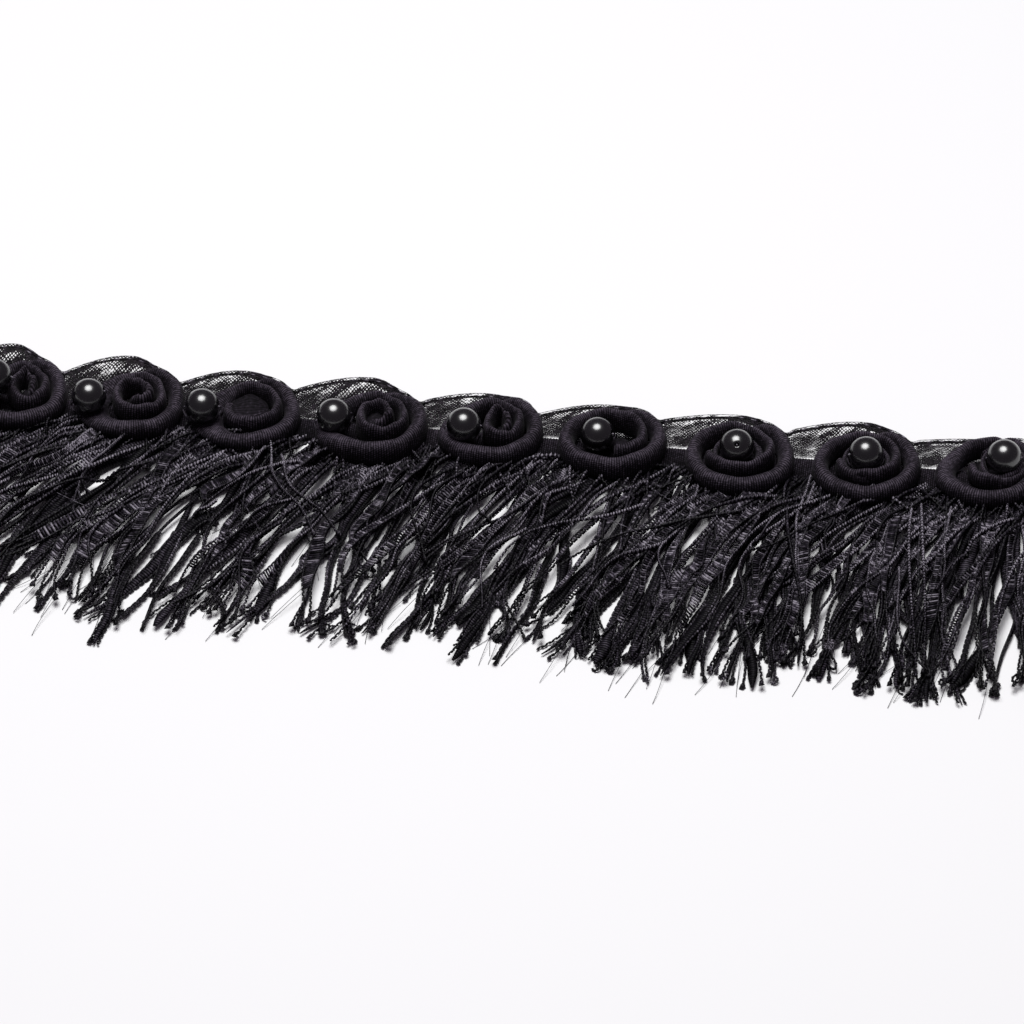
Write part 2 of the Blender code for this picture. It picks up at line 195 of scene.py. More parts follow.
def tubes(name, rings, material, along=None, tone=None, closed=False):
    """Skin tubes given as rings (tubes, steps, sides, 3), each ring turning the same way round.

    Neighbouring rings are joined by four-cornered faces. A closed tube's last ring joins its first,
    and an open one's ends are capped, a three-sided one with a triangle and others with strips of
    faces. UV: round the tube 0 to 1, and along it in millimetres.
    """
    count, steps, sides, _ = rings.shape
    step = np.arange(steps if closed else steps - 1)[:, None]
    side = np.arange(sides)[None, :]
    after, beside = (step + 1) % steps, (side + 1) % sides
    quad = np.stack([
        step * sides + side, step * sides + beside, after * sides + beside, after * sides + side,
    ], axis=-1).reshape(-1, 4)
    if along is None:
        along = lengths_along(rings.mean(axis=2))
    far = np.concatenate([along, along[:, -1:] * 2 - along[:, -2:-1]], axis=1) / MM
    low, high, left = np.broadcast_arrays(
        far[:, :len(step), None], far[:, 1:len(step) + 1, None], side / sides)
    right = left + 1 / sides
    corners = [(left, low), (right, low), (right, high), (left, high)]
    uv = np.stack([np.stack(pair, axis=-1) for pair in corners], axis=-2).reshape(count, -1, 4, 2)
    numbers = (np.arange(count) * steps * sides)[:, None, None]
    ends = along[:, [0, -1]] / MM
    caps = []
    if not closed and sides == 3:
        cap = np.array([[0, 2, 1], [3 * steps - 3, 3 * steps - 2, 3 * steps - 1]])
        cap_uv = np.zeros((count, 2, 3, 2))
        cap_uv[..., 1] = ends[..., None]
        caps = [((cap + numbers).reshape(-1, 3), cap_uv)]
    elif not closed:
        first = np.arange(sides // 2 - 1)
        cap = np.stack([first, sides - 1 - first, sides - 2 - first, first + 1], axis=-1)
        quad = np.concatenate([quad, cap, cap[:, ::-1] + (steps - 1) * sides])
        cap_uv = np.zeros((count, 2 * len(cap), 4, 2))
        cap_uv[..., 1] = np.repeat(ends, len(cap), axis=1)[..., None]
        uv = np.concatenate([uv, cap_uv], axis=1)
    if tone is not None:
        tone = np.broadcast_to(tone.reshape(count, -1, 1), (count, steps, sides))
    faces = [((quad + numbers).reshape(-1, 4), uv)] + caps
    return mesh_object(name, rings.reshape(-1, 3), faces, material, tone)


def cords(paths, radii, sides, turn=0.0):
    """Rings of round cords along paths (cords, steps, 3), with a radius for each step or for all.

    Each ring lies across its path: one side points level across it and the other up from it, and
    the ring's points are path + radius * (cos * across + sin * up).
    """
    tangent = unit(np.gradient(paths, axis=1))
    across = unit(np.cross(tangent, NEARLY_UP))
    up = np.cross(across, tangent)
    around = (turn - circle(sides))[:, None]
    rim = np.cos(around) * across[:, :, None] + np.sin(around) * up[:, :, None]
    radii = np.broadcast_to(radii, paths.shape[:2])[..., None, None]
    return above_ground(paths[:, :, None] + radii * rim)


def above_ground(rings):
    """Press whatever would sink into the surface flat against it."""
    rings[..., 2] = np.maximum(rings[..., 2], LEAST_HEIGHT)
    return rings


def sheet_mesh(name, points, uvs, material):
    """Skin a grid of points (rows, columns, 3) with uvs (rows, columns, 2), facing up."""
    rows, columns, _ = points.shape
    first = (np.arange(rows - 1)[:, None] * columns + np.arange(columns - 1)).reshape(-1, 1)
    quads = first + [0, 1, columns + 1, columns]
    return mesh_object(name, points.reshape(-1, 3), [(quads, uvs.reshape(-1, 2)[quads])], material)


def dress(piece, slot, *nodes):
    """Tie a finished piece to the root body and hide the nodes that it stands for.

    The slot is not used.
    """
    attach(piece, "root")
    if nodes:
        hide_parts(*nodes)
    faces, corners = len(piece.data.polygons), len(piece.data.loops)
    print(piece.name, faces, "faces,", corners - 2 * faces, "triangles")


# %% [markdown]
# ## Finishes
#
# Five finishes cover the trim: ribbed cloth, gauze, yarn, yarn seen as a flat band, and pearl. Each
# is a small node graph on the Principled shader. Colour comes from noise and from the piece's own
# UV map, where one unit is a millimetre, and a bump adds the threads that are too fine to model.


# %% Helpers for materials
def feed(tree, socket, value):
    """Link a socket to another one that gives its value, or set it to a number."""
    if isinstance(value, bpy.types.NodeSocket):
        tree.links.new(value, socket)
    else:
        socket.default_value = value


def finish(name, roughness, shine, **values):
    """Start a Principled material with its constant values on the shader's own sockets.

    Sockets other than the first two are given by name, with underscores for spaces.
    """
    material = bpy.data.materials.new(name)
    material.use_nodes = True
    shader = material.node_tree.nodes["Principled BSDF"]
    values = {"Roughness": roughness, "Specular IOR Level": shine, **values}
    for key, value in values.items():
        shader.inputs[key.replace("_", " ")].default_value = value
    return material, material.node_tree, shader


def node(tree, kind, **inputs):
    """Add a node, with its properties and sockets given by name, underscores for spaces."""
    made = tree.nodes.new(kind)
    for key, value in inputs.items():
        if hasattr(made, key):
            setattr(made, key, value)
        else:
            feed(tree, made.inputs[key.replace("_", " ")], value)
    return made


def maths(tree, operation, *values):
    """Add a Math node whose inputs are numbers or links, and return its output."""
    made = node(tree, "ShaderNodeMath", operation=operation)
    for socket, value in zip(made.inputs, values):
        feed(tree, socket, value)
    return made.outputs[0]


def blend(tree, *terms):
    """Add up (value, weight) terms: each value times its weight."""
    total = maths(tree, "MULTIPLY", *terms[0])
    for value, weight in terms[1:]:
        total = maths(tree, "MULTIPLY_ADD", value, weight, total)
    return total


def colour(tree, shader, shade, stops):
    """Colour the shader by a Color Ramp over shade, with (position, (r, g, b)) stops."""
    made = node(tree, "ShaderNodeValToRGB", Fac=shade)
    band = made.color_ramp.elements
    while len(band) < len(stops):
        band.new(0.5)
    for element, (position, value) in zip(band, stops):
        element.position = position
        element.color = (*value, 1.0)
    tree.links.new(made.outputs["Color"], shader.inputs["Base Color"])


def cloth_axes(tree):
    """The UV map and its two parts: round a tube or along a sheet, then along it or across it."""
    uv = node(tree, "ShaderNodeUVMap", uv_map="cloth").outputs[0]
    parts = node(tree, "ShaderNodeSeparateXYZ", Vector=uv).outputs
    return uv, parts[0], parts[1]


def noise(tree, scale, detail=2.0, place=None):
    """Noise over a place, else over the object's own coordinates, where scale is waves a metre."""
    if place is None:
        place = node(tree, "ShaderNodeTexCoord").outputs["Object"]
    return node(tree, "ShaderNodeTexNoise", Vector=place, Scale=scale, Detail=detail).outputs[0]


def bump(tree, shader, height, depth):
    """Bump the surface by height times depth metres."""
    made = node(tree, "ShaderNodeBump", Height=height, Distance=depth)
    tree.links.new(made.outputs[0], shader.inputs["Normal"])


# %% Ribbed cloth
RIB = 0.4
STITCHES_ROUND = 30
CLOTH_COLOURS = [
    (0.45, (0.0013, 0.0010, 0.0016)), (0.75, (0.0152, 0.0118, 0.0175)), (1.0, (0.1, 0.083, 0.11))]
# Painted light on the ridge: where it lies on the way round the tube's section, how far it reaches
# and how much paler it is, and how much painted shade darkens all of the cloth away from it
RIDGE_AT = 0.36
RIDGE_REACH = 0.26
RIDGE_PAINTED_LIGHT = 0.2
PAINTED_WALL_SHADE = 0.13


def ribbed_cloth(name, bright):
    """Matt black tube cloth: ribs across the tube, and a fleck of threads.

    The rib tops are painted paler as a painted highlight and the grooves darker as painted shade.
    The cloth is painted paler over the tube's ridge, where light from above falls, and darker
    towards its foot, as painted shade.
    """
    material, tree, shader = finish(
        name, 0.75, 0.1 * bright, Sheen_Weight=0.03 * bright, Sheen_Roughness=0.4)
    _, around, along = cloth_axes(tree)
    turned = maths(tree, "MULTIPLY", along, np.pi / RIB)
    # Painted highlight on the rib tops and painted shade in the grooves
    rib = maths(tree, "ABSOLUTE", maths(tree, "SINE", turned))
    turned = maths(tree, "MULTIPLY_ADD", around, TAU * STITCHES_ROUND, turned)
    stitch = maths(tree, "SINE", turned)
    fleck, cloud = noise(tree, 1900.0), noise(tree, 240.0)
    shade = blend(tree, (rib, 0.42), (fleck, 0.6), (stitch, 0.08), (cloud, 0.3))
    # Painted light on the ridge, painted shade down the walls to the foot
    away = maths(tree, "ABSOLUTE", maths(tree, "SUBTRACT", around, RIDGE_AT))
    ridge = maths(tree, "MAXIMUM", maths(tree, "MULTIPLY_ADD", away, -1 / RIDGE_REACH, 1.0), 0.0)
    shade = maths(tree, "SUBTRACT", shade, PAINTED_WALL_SHADE)
    shade = maths(tree, "MULTIPLY_ADD", ridge, RIDGE_PAINTED_LIGHT, shade)
    colour(tree, shader, shade, [(spot, bright * np.array(value)) for spot, value in CLOTH_COLOURS])
    bump(tree, shader, blend(tree, (fleck, 0.9), (stitch, 0.25)), 0.00006)
    return material


cloth = ribbed_cloth("ribbed_cloth", 0.82)

# %% [markdown]
# ## Rosettes
#
# Each rosette is a narrow ribbon, knitted in fine ribs and turned in on itself, wound into a spiral
# and stitched down. It could be sculpted, or wound from a curve with a bevel. Here the tube is a
# ring of points carried along the same spiral as the solid, with real ribs: the ring shrinks a
# little at every groove, so the outline is ribbed too.

# %% Wind the rosettes
RIB_DEPTH = 0.13 * MM
RIB_SAMPLES = 2
INNER_RISE = 0.7 * MM
# The tube's section: how far out and how high, as shares of half its width and of its height. It is
# full and round on the outside and over its ridge, and inside it falls a little sooner, towards the
# next turn.
SECTION = np.array([
    (0.94, 0.0), (1.0, 0.12), (1.0, 0.32), (0.96, 0.53), (0.86, 0.72), (0.68, 0.88), (0.42, 0.97),
    (0.12, 1.0), (-0.18, 0.98), (-0.44, 0.91), (-0.66, 0.79), (-0.82, 0.62), (-0.93, 0.43),
    (-1.0, 0.24), (-1.0, 0.1), (-0.9, 0.0), (-0.3, 0.0), (0.4, 0.0),
])
SECTION_MIDDLE = 0.45
# The very start of a tube: how low it is, and over how far it grows
FIRST_HEIGHT = 0.3
FIRST_FADE = np.radians(35)
END_ROUNDED = 0.6 * MM
# Slow waves along a tube, in radians for each radian wound: two change its height, one its course
HEIGHT_WAVES = ((2.9, 0.06), (7.3, 0.04))
SWAY_WAVE, SWAY = 4.3, 0.12 * MM
# A collar: its turns, radius and width, the room to the turn outside it, where it starts, how many
# turns it takes to settle, how far it stays below the bead's middle, how much lower it starts, and
# how much higher it is at the back
COLLAR_TURNS = 1.7
COLLAR_RADIUS = 3.65 * MM
COLLAR_WIDTH = 1.15 * MM
COLLAR_ROOM = 0.2 * MM
COLLAR_START = np.radians(150)
COLLAR_SETTLES = 0.7
COLLAR_BELOW = 1.2 * MM
COLLAR_STARTS_LOWER = 0.7 * MM
COLLAR_BACK_HIGHER = 0.25 * MM
CENTRED = (7, 8, 9)


def between(first, second, third, inset):
    """Go from the outer turn's value to the second turn's and the third's as inset goes 0, 1, 2."""
    outer, inner = first + (second - first) * inset, second + (third - second) * (inset - 1.0)
    return np.where(inset <= 1.0, outer, inner)


def winding(row, turned):
    """The rosette's spiral: where the tube's middle runs and how wide and tall it is.

    The middle runs clockwise on an ellipse that steps in to smaller ones at the left and back. The
    tube is pressed flat and wide on the left, under the bead. All is given turned radians along.
    """
    turn = turned / TAU
    angle = COIL_START - turned
    inset = sum(smooth_mix((turn - step_in) / STEP_IN_TURN) for step_in in STEPS_IN)
    begun = smooth_mix(turned / TUBE_FADE, TUBE_START)
    ended = smooth_mix((turn - row.turns + TUBE_END_TURN) / TUBE_END_TURN)
    pressed = row.dip * np.exp(-((angle + np.pi) / DIP_SPREAD) ** 2)
    width = between(TUBE_OUTER, TUBE_INNER, TUBE_EYE, inset) * begun
    spread = DIP_WIDENING * smooth_mix(pressed / DIP_WIDE_AT) * np.maximum(0.0, 1 - inset)
    spread = spread + (row.flap * MM - TUBE_EYE) * ended
    half_x, half_y = row.half_width * MM, row.half_depth * MM
    inner_x, eye_x = row.inner * MM, row.eye * MM
    inner_y = half_y - TUBE_OUTER - TURN_GAP - INNER_BACK
    eye_y = inner_y * row.eye / row.inner
    semi_x, semi_y = (
        between(outer - TUBE_OUTER / 2, inner - TUBE_INNER / 2, eye - TUBE_EYE / 2, inset)
        for outer, inner, eye in ((half_x, inner_x, eye_x), (half_y, inner_y, eye_y)))
    second_room = TUBE_OUTER + TURN_GAP + TUBE_INNER / 2
    third_room = TUBE_OUTER + TUBE_INNER + 2 * TURN_GAP + TUBE_EYE / 2
    room = between(TUBE_OUTER / 2, second_room, third_room, inset)
    spot_x = between(0.0, row.inner_x, row.eye_x, inset) * MM + semi_x * np.cos(angle)
    spot_y = INNER_BACK * np.minimum(inset, 1.0) + semi_y * np.sin(angle)
    outside = np.maximum(1.0, np.hypot(spot_x / (half_x - room), spot_y / (half_y - room)))
    middle = np.stack([row.x * MM + spot_x / outside, row.y * MM + spot_y / outside], axis=-1)
    outward = unit(np.stack([semi_y * np.cos(angle), semi_x * np.sin(angle)], axis=-1))
    height = COIL_HEIGHT + COIL_BACK_HIGHER * spot_y / outside / half_y
    height = height + row.rise * MM * np.clip(0.5 - 0.6 * spot_y / half_y, 0.0, 1.0)
    height = height + INNER_RISE * np.minimum(inset, 1.0)
    height = height * (1 - pressed) * (1 - END_DROP * ended)
    height = height * (TUBE_START_HEIGHT + (1 - TUBE_START_HEIGHT) * begun)
    height = height * smooth_mix(turned / FIRST_FADE, FIRST_HEIGHT)
    return middle, outward, width, spread, COIL_BASE + COIL_RISE * inset, height


def ribbed_rings(middle, outward, half, base, height, spots):
    """Carry the section along a level path, drawn in at each groove and rounded off at both ends.

    A point is middle + outward * out * half width, at base + up * height. Grooves are where a sine
    of the distance along crosses nought: the section shrinks there by the depth of a rib. The
    distances are handed back for the UV map.
    """
    groove = RIB_DEPTH * (1 - np.abs(np.sin(np.pi * spots / (RIB * MM))))
    end = np.clip(np.minimum(spots, spots[-1] - spots) / END_ROUNDED, 0.0, 1.0)
    close = np.sqrt(np.clip(1 - (1 - end) ** 2, 0.02, 1.0))
    out, up = SECTION.T
    out = out * ((half - groove) * close)[:, None]
    up = (up - SECTION_MIDDLE) * ((height - groove) * close)[:, None]
    rings = np.empty((len(spots), len(SECTION), 3))
    rings[..., :2] = middle[:, None] + outward[:, None] * out[..., None]
    rings[..., 2] = base[:, None] + (up + SECTION_MIDDLE * height[:, None])
    return rings, spots


def rib_spots(length):
    """Equal steps along a length, a few to each rib, and the same on cloth of whole ribs."""
    ribs = int(length / (RIB * MM))
    share = shares(ribs * RIB_SAMPLES + 1)
    return share * length, share * ribs * RIB * MM


def rosette_rings(row):
    """The tube's rings at equal steps along the spiral, with a slow unevenness."""
    fine = np.linspace(0.0, row.turns * TAU, 2400)
    along = lengths_along(winding(row, fine)[0])
    spots, cloth_length = rib_spots(along[-1])
    turned = np.interp(spots, along, fine)
    middle, outward, width, spread, base, height = winding(row, turned)
    wobble = 1.0
    for number, (wave, size) in enumerate(HEIGHT_WAVES, start=1):
        wobble = wobble + size * np.sin(turned * wave + number * row.x)
    sway = SWAY * np.sin(turned * SWAY_WAVE + 3 * row.x)
    middle = middle + outward * sway[:, None] - outward * spread[:, None] / 2
    half = (width + spread) / 2
    return ribbed_rings(middle, outward, half, base, height * wobble, cloth_length)


def collar_rings(row, centre):
    """The last turn of a rosette whose bead sits in its middle: a thin upright wall round the bead.

    It winds in from the turn outside it, on circles whose middle moves from the rosette's to the
    bead's.
    """
    turned = np.linspace(0.0, COLLAR_TURNS * TAU, 1200)
    share = smooth_mix(turned / (COLLAR_SETTLES * TAU))
    angle = COLLAR_START - turned
    around = np.stack([np.cos(angle), np.sin(angle)], axis=-1)
    eye = np.array([row.x + row.eye_x, row.y]) * MM
    first_radius = row.eye * MM - TUBE_EYE - COLLAR_ROOM
    radius = first_radius + (COLLAR_RADIUS - first_radius) * share
    middle = eye + (centre[:2] - eye) * share[:, None] + around * radius[:, None]
    along = lengths_along(middle)
    spots, cloth_length = rib_spots(along[-1])
    columns = (*middle.T, *around.T, share)
    pick = np.stack([np.interp(spots, along, column) for column in columns], axis=-1)
    middle, outward, share = pick[:, :2], unit(pick[:, 2:4]), pick[:, 4]
    half = COLLAR_WIDTH / 2 * smooth_mix(spots / (3 * MM), 0.5)
    height = centre[2] - COIL_BASE - COLLAR_BELOW - COLLAR_STARTS_LOWER * (1 - share)
    height = height + COLLAR_BACK_HIGHER * outward[:, 1]
    base = np.full(len(spots), COIL_BASE)
    return ribbed_rings(middle, outward, half, base, height, cloth_length)


centres = [np.mean(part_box(f"pearl_{number + 1}"), axis=0) for number in range(len(ROSETTES))]
for number, (row, centre) in enumerate(zip(ROSETTES, centres), start=1):
    rings, spots = rosette_rings(row)
    piece = tubes(f"wound_rosette_{number}", rings[None], cloth, along=spots[None])
    dress(piece, "ribbed_fabric", f"rosette_{number}")
    if number in CENTRED:
        rings, spots = collar_rings(row, centre)
        dress(tubes(f"collar_{number}", rings[None], cloth, along=spots[None]), "ribbed_fabric")

# %% Folds that fill the rosettes' middles
Fold = namedtuple("Fold", "x y z half_x half_y half_z turn tilt")
PETALS = [
    Fold(-43.2, 0.7, 3.5, 3.4, 2.7, 0.9, 10, 20), Fold(-20.9, 0.7, 3.3, 2.3, 1.6, 0.9, 25, 25)]
FOLD_STEPS = 28
FOLD_SIDES = 24
FOLD_RIB = 0.06 * MM
# The pads at the bottom: flat in a wide eye and a knob in a narrow one
Pad = namedtuple("Pad", "rim z half_z")
WIDE_PAD, KNOB_PAD = Pad(0.7, 2.1, 0.45), Pad(0.9, 2.6, 0.6)
WIDE_EYE = 2.5
PAD_TURN = 5  # degrees


def fold_rings(fold):
    """A rounded pad of cloth: ellipses across its long axis, each as large as sqrt(1 - s^2)."""
    s = np.sin(np.linspace(-0.97, 0.97, FOLD_STEPS) * np.pi / 2)[:, None, None]
    size = np.sqrt(1 - s ** 2)
    turn, tilt = np.radians(fold.turn), np.radians(fold.tilt)
    ahead = np.array([np.cos(turn), np.sin(turn), 0.0])
    beside = np.array([-np.sin(turn) * np.cos(tilt), np.cos(turn) * np.cos(tilt), np.sin(tilt)])
    above = np.cross(ahead, beside)
    around = circle(FOLD_SIDES)[:, None]
    rim = fold.half_y * np.cos(around) * beside + fold.half_z * np.sin(around) * above
    crease = 1 + 0.08 * np.sin(5 * s + 1.0)
    centre = np.array([fold.x, fold.y, fold.z])
    return MM * (centre + fold.half_x * s * ahead + size * crease * rim)


def eye_pad(row):
    """The pad at the bottom of a rosette's innermost turn."""
    pad = WIDE_PAD if row.eye > WIDE_EYE else KNOB_PAD
    inner_y = row.half_depth - (TUBE_OUTER + TURN_GAP + INNER_BACK) / MM
    half_y = inner_y * row.eye / row.inner - pad.rim
    x, y = row.x + row.eye_x, row.y + INNER_BACK / MM
    return Fold(x, y, pad.z, row.eye - pad.rim, half_y, pad.half_z, PAD_TURN, 0)


pads = np.array([fold_rings(fold) for fold in PETALS + [eye_pad(row) for row in ROSETTES]])
between_ribs = np.full(pads.shape[:2], FOLD_RIB)
dress(tubes("centre_folds", pads, cloth, along=between_ribs), "ribbed_fabric")

# %% [markdown]
# ## Pearl beads
#
# A pearl bead is a ball with a hole through it and a glossy coat. Its section, a half circle joined
# by the straight wall of the hole, is turned about the hole, which gives one closed surface. The
# hole lies level on most beads, where the thread goes down on both sides. On one it points up at
# the viewer.

# %% Beads and their finish
HOLE_RADIUS = 0.42 * MM
BALL_STEPS = 30
WALL_STEPS = 4
BEAD_SIDES = 40
LEVEL = (0.98, -0.05, 0.16)
HOLE_AXES = unit(np.array([
    LEVEL, (0.9, 0.1, 0.42), LEVEL, (0.95, 0.3, 0.1), LEVEL, (0.9, -0.2, 0.38), (0.06, -0.62, 0.78),
    (0.93, 0.3, -0.2), LEVEL,
]))


def pearl_coat():
    """Glossy black coat over a dark core, with a very faint mottling of its depth."""
    material, tree, shader = finish(
        "pearl_coat", 0.38, 0.06, Coat_Weight=1.0, Coat_Roughness=0.21, Coat_IOR=1.8)
    cloud = noise(tree, 500.0)
    colour(tree, shader, cloud, [(0.35, (0.0006, 0.0006, 0.0009)), (0.7, (0.002, 0.002, 0.0026))])
    bump(tree, shader, cloud, 0.00001)
    return material


def bead_rings(centre, axis):
    """Turn the bead's section about its hole: radius R sin t at height R cos t, then the wall."""
    edge = np.arcsin(HOLE_RADIUS / PEARL_RADIUS)
    t = np.linspace(edge, np.pi - edge, BALL_STEPS)
    wall = np.linspace(-1, 1, WALL_STEPS + 2)[1:-1] * PEARL_RADIUS * np.cos(edge)
    radius = np.concatenate([PEARL_RADIUS * np.sin(t), np.full(WALL_STEPS, HOLE_RADIUS)])
    height = np.concatenate([PEARL_RADIUS * np.cos(t), wall])
    side = unit(np.cross(axis, (0.1, 0.2, 1.0)))
    other = np.cross(axis, side)
    around = circle(BEAD_SIDES)[:, None]
    rim = np.cos(around) * side + np.sin(around) * other
    return centre + height[:, None, None] * axis + radius[:, None, None] * rim


pearl = pearl_coat()
for number, (centre, axis) in enumerate(zip(centres, HOLE_AXES), start=1):
    rings = bead_rings(centre, axis)[:, ::-1]
    piece = tubes(f"pearl_bead_{number}", rings[None], pearl, closed=True)
    dress(piece, "pearl", f"pearl_{number}")

# %% [markdown]
# ## Gauze ribbon
#
# The gauze is a sheer ribbon of thin threads, gathered behind the rosettes and raised into a
# scallop at the back of each. Real holes in every mesh would take a million faces, so the sheet is
# one thin surface and its weave is in the finish, which is see-through between the threads. Its
# double selvedge is cord, and its hem is rolled in the ribbed cloth and thickens towards each
# rosette.

# %% Gauze
WEAVE_PITCH = 0.62
RIBBON_COLUMNS = 620
RIBBON_ROWS = 24
# How wide the cloth is, and where its more open border begins, in millimetres across it
RIBBON_WIDE = 8.5
BORDER_FROM = 7.9
NEAR_EDGE = TAPE_WIDTH / 2 + 0.25 * MM
SLIT = 0.55 * MM
VALLEY_HEIGHT = 0.7 * MM
CREST_SHIFT = 0.8
VALLEY_SHIFT = -2.6
FLAT_SHARE = 0.5
# Of how far a crest has settled, what it lies further forward and what it lies lower
SETTLED_FORWARD, SETTLED_DOWN = 0.4, 0.6
# How far inside a rosette's outline the edge meets the tube, and at which share of its height
MEETS_INSIDE = 0.7
MEETS_AT = 0.78
# Where the slit between tape and gauze begins to open, and over how many millimetres it does
SLIT_FROM, SLIT_FADE = -16, 10
GATHER_HEIGHT = 0.16 * MM
# Waves of the gathers: their size, how fast they turn along and across the ribbon, and their start
GATHERS = [(1.0, 2.3, 7.0, 0.0), (0.6, 4.1, -5.0, 1.0)]


def gauze_weave():
    """Two crossing families of threads on the UV map, and clear holes between them.

    A point is covered where the threads' waves, with a fleck on them, rise over a threshold. That
    sinks in folds and where the cloth is pinched, so it is denser there. It rises at the border and
    slowly to the right, where the cloth is more open.
    """
    material, tree, shader = finish(
        "gauze_weave", 0.6, 0.2, Sheen_Weight=0.03, Sheen_Roughness=0.4)
    uv, along, across = cloth_axes(tree)
    drift, pinch = noise(tree, 1.3, place=uv), noise(tree, 0.55, 1.0, uv)
    threads = []
    for way, sway in (("ADD", 0.5), ("SUBTRACT", -0.5)):
        axis = maths(tree, "MULTIPLY_ADD", drift, sway, maths(tree, way, along, across))
        threads.append(maths(tree, "SINE", maths(tree, "MULTIPLY", axis, TAU / WEAVE_PITCH)))
    fleck = noise(tree, 2300.0)
    woven = maths(tree, "SUBTRACT", maths(tree, "MAXIMUM", *threads), 1.0)
    woven = maths(tree, "MULTIPLY_ADD", fleck, 2.0, woven)
    border = maths(tree, "MULTIPLY", maths(tree, "GREATER_THAN", across, BORDER_FROM), 0.45)
    lay = node(
        tree, "ShaderNodeMapping", vector_type="TEXTURE", Vector=uv, Scale=(4.5, 1.1, 1.0),
        Rotation=(0.0, 0.0, 0.52))
    fold = noise(tree, 1.0, place=lay.outputs[0])
    least = maths(tree, "MULTIPLY_ADD", fold, -6.6, 3.85)
    least = maths(tree, "ADD", maths(tree, "MULTIPLY_ADD", pinch, -1.6, least), border)
    least = maths(tree, "MULTIPLY_ADD", along, 0.0045, least)
    tree.links.new(maths(tree, "GREATER_THAN", woven, least), shader.inputs["Alpha"])
    colour(tree, shader, fleck, [(0.45, (0.0016, 0.0013, 0.002)), (0.8, (0.032, 0.023, 0.034))])
    bump(tree, shader, woven, 0.00005)
    return material


def valley_after(row):
    """Where the valley at the right of a rosette's scallop lies."""
    return (row.x + row.half_width + VALLEY_SHIFT) * MM


def scallop_edge(x):
    """How far back and how high the solid's scalloped edge lies at x.

    Between a valley and a crest it follows a quarter of a sine wave, so crests are round and
    valleys sharp.
    """
    knots = [(-TAPE_LENGTH / 2, SCALLOPS[0].valley_y * MM, VALLEY_HEIGHT, 0.0)]
    for row, scallop in zip(ROSETTES, SCALLOPS):
        crest_y = (scallop.crest_y - SETTLED_FORWARD * scallop.settle) * MM
        crest_z = (scallop.crest_z - SETTLED_DOWN * scallop.settle) * MM
        knots.append(((row.x - CREST_SHIFT) * MM, crest_y, crest_z, 1.0))
        knots.append((valley_after(row), scallop.valley_y * MM, VALLEY_HEIGHT, 0.0))
    knots = np.array(knots)
    left = np.clip(np.searchsorted(knots[:, 0], x, side="right") - 1, 0, len(knots) - 2)
    share = (x - knots[left, 0]) / (knots[left + 1, 0] - knots[left, 0])
    share = np.pi / 2 * np.clip(share, 0.0, 1.0)
    share = np.where(knots[left, 3] < 0.5, np.sin(share), 1 - np.cos(share))
    low, high = knots[left, 1:3], knots[left + 1, 1:3]
    edge = low + (high - low) * share[..., None]
    return edge[..., 0], edge[..., 1]


def hem_line(x):
    """The edge drawn in, right of each crest, to the back of the rosette's tube: its y and z."""
    y, z = scallop_edge(x)
    tube_z = COIL_BASE + MEETS_AT * (COIL_HEIGHT + COIL_BACK_HIGHER)
    for row in ROSETTES:
        out = (x / MM - row.x) / (row.half_width - MEETS_INSIDE)
        reach = (row.half_depth - MEETS_INSIDE) * np.sqrt(np.clip(1 - out ** 2, 0.0, 1.0))
        back = (row.y + reach) * MM
        pull = smooth_mix((out + 0.05) / 0.75) * smooth_mix((out - 0.78) / 0.18, 1.0, 0.0)
        y = y + (np.minimum(back, y) - y) * pull
        z = z + (tube_z - z) * pull
    return y, z


def gauze_points(columns, rows):
    """The ribbon, from its near edge by the tape to its scalloped edge, rising on the way.

    Gathers are low waves that fan out from behind each rosette and die out at both edges.
    """
    x = np.linspace(-TAPE_LENGTH / 2, TAPE_LENGTH / 2, columns)[None]
    across = shares(rows)[:, None]
    far_y, far_z = hem_line(x)
    far_y = far_y + 0.1 * MM
    wedge = [
        (row.x + side * 0.8 * row.half_width, 0.8 - side * 0.5)
        for row in ROSETTES for side in (-1, 1)]
    slit = SLIT * smooth_mix((x / MM - SLIT_FROM) / SLIT_FADE, 0.1)
    slit = slit * np.interp(x / MM, *np.transpose(wedge))
    nearest = np.min([np.abs(x / MM - row.x) / row.half_width for row in ROSETTES], axis=0)
    near_y = NEAR_EDGE + slit * smooth_mix((nearest - 0.6) / 0.35)
    lift = smooth_mix((across - FLAT_SHARE * 0.4) / (1.2 - FLAT_SHARE)) * (far_z - 0.1 * MM)
    y = near_y + (far_y - near_y) * across
    gather = sum(
        size * np.sin(x / MM * wave + across * fan + start) for size, wave, fan, start in GATHERS)
    z = 0.35 * MM + lift + GATHER_HEIGHT * gather * np.sin(np.pi * across)
    points = np.stack(np.broadcast_arrays(x, y, z), axis=-1)
    flat = np.stack(np.broadcast_arrays(x / MM, across * RIBBON_WIDE), axis=-1)
    return points, flat


points, flat = gauze_points(RIBBON_COLUMNS, RIBBON_ROWS)
gauze = sheet_mesh("gauze_sheet", points, flat, gauze_weave())
dress(gauze, "gauze", "gauze_ribbon")

# %% [markdown]
# ## Yarn
#
# The fringe, the selvedge and the sewing thread share one yarn finish: black, slightly shiny
# filament with a purple cast. Each strand has its own tone, kept as an attribute on its points,
# which also carries painted highlights on the tops of its stitches, and pale flecks along it,
# which are painted glints. The flat bands of the lower row have a finish with the ladder drawn
# in it.

# %% Yarn finishes
RUNG_PITCH = 0.52
YARN_DARK, YARN_MIDDLE = (0.0008, 0.0007, 0.0012), (0.0098, 0.0082, 0.012)


def yarn_base(name, roughness):
    """Start a yarn's material, with the tone of its strands and the fleck of its filaments."""
    material, tree, shader = finish(name, roughness, 0.12)
    tone = node(tree, "ShaderNodeAttribute", attribute_name="tone").outputs["Fac"]
    return material, tree, shader, tone, noise(tree, 1500.0, 3.0)


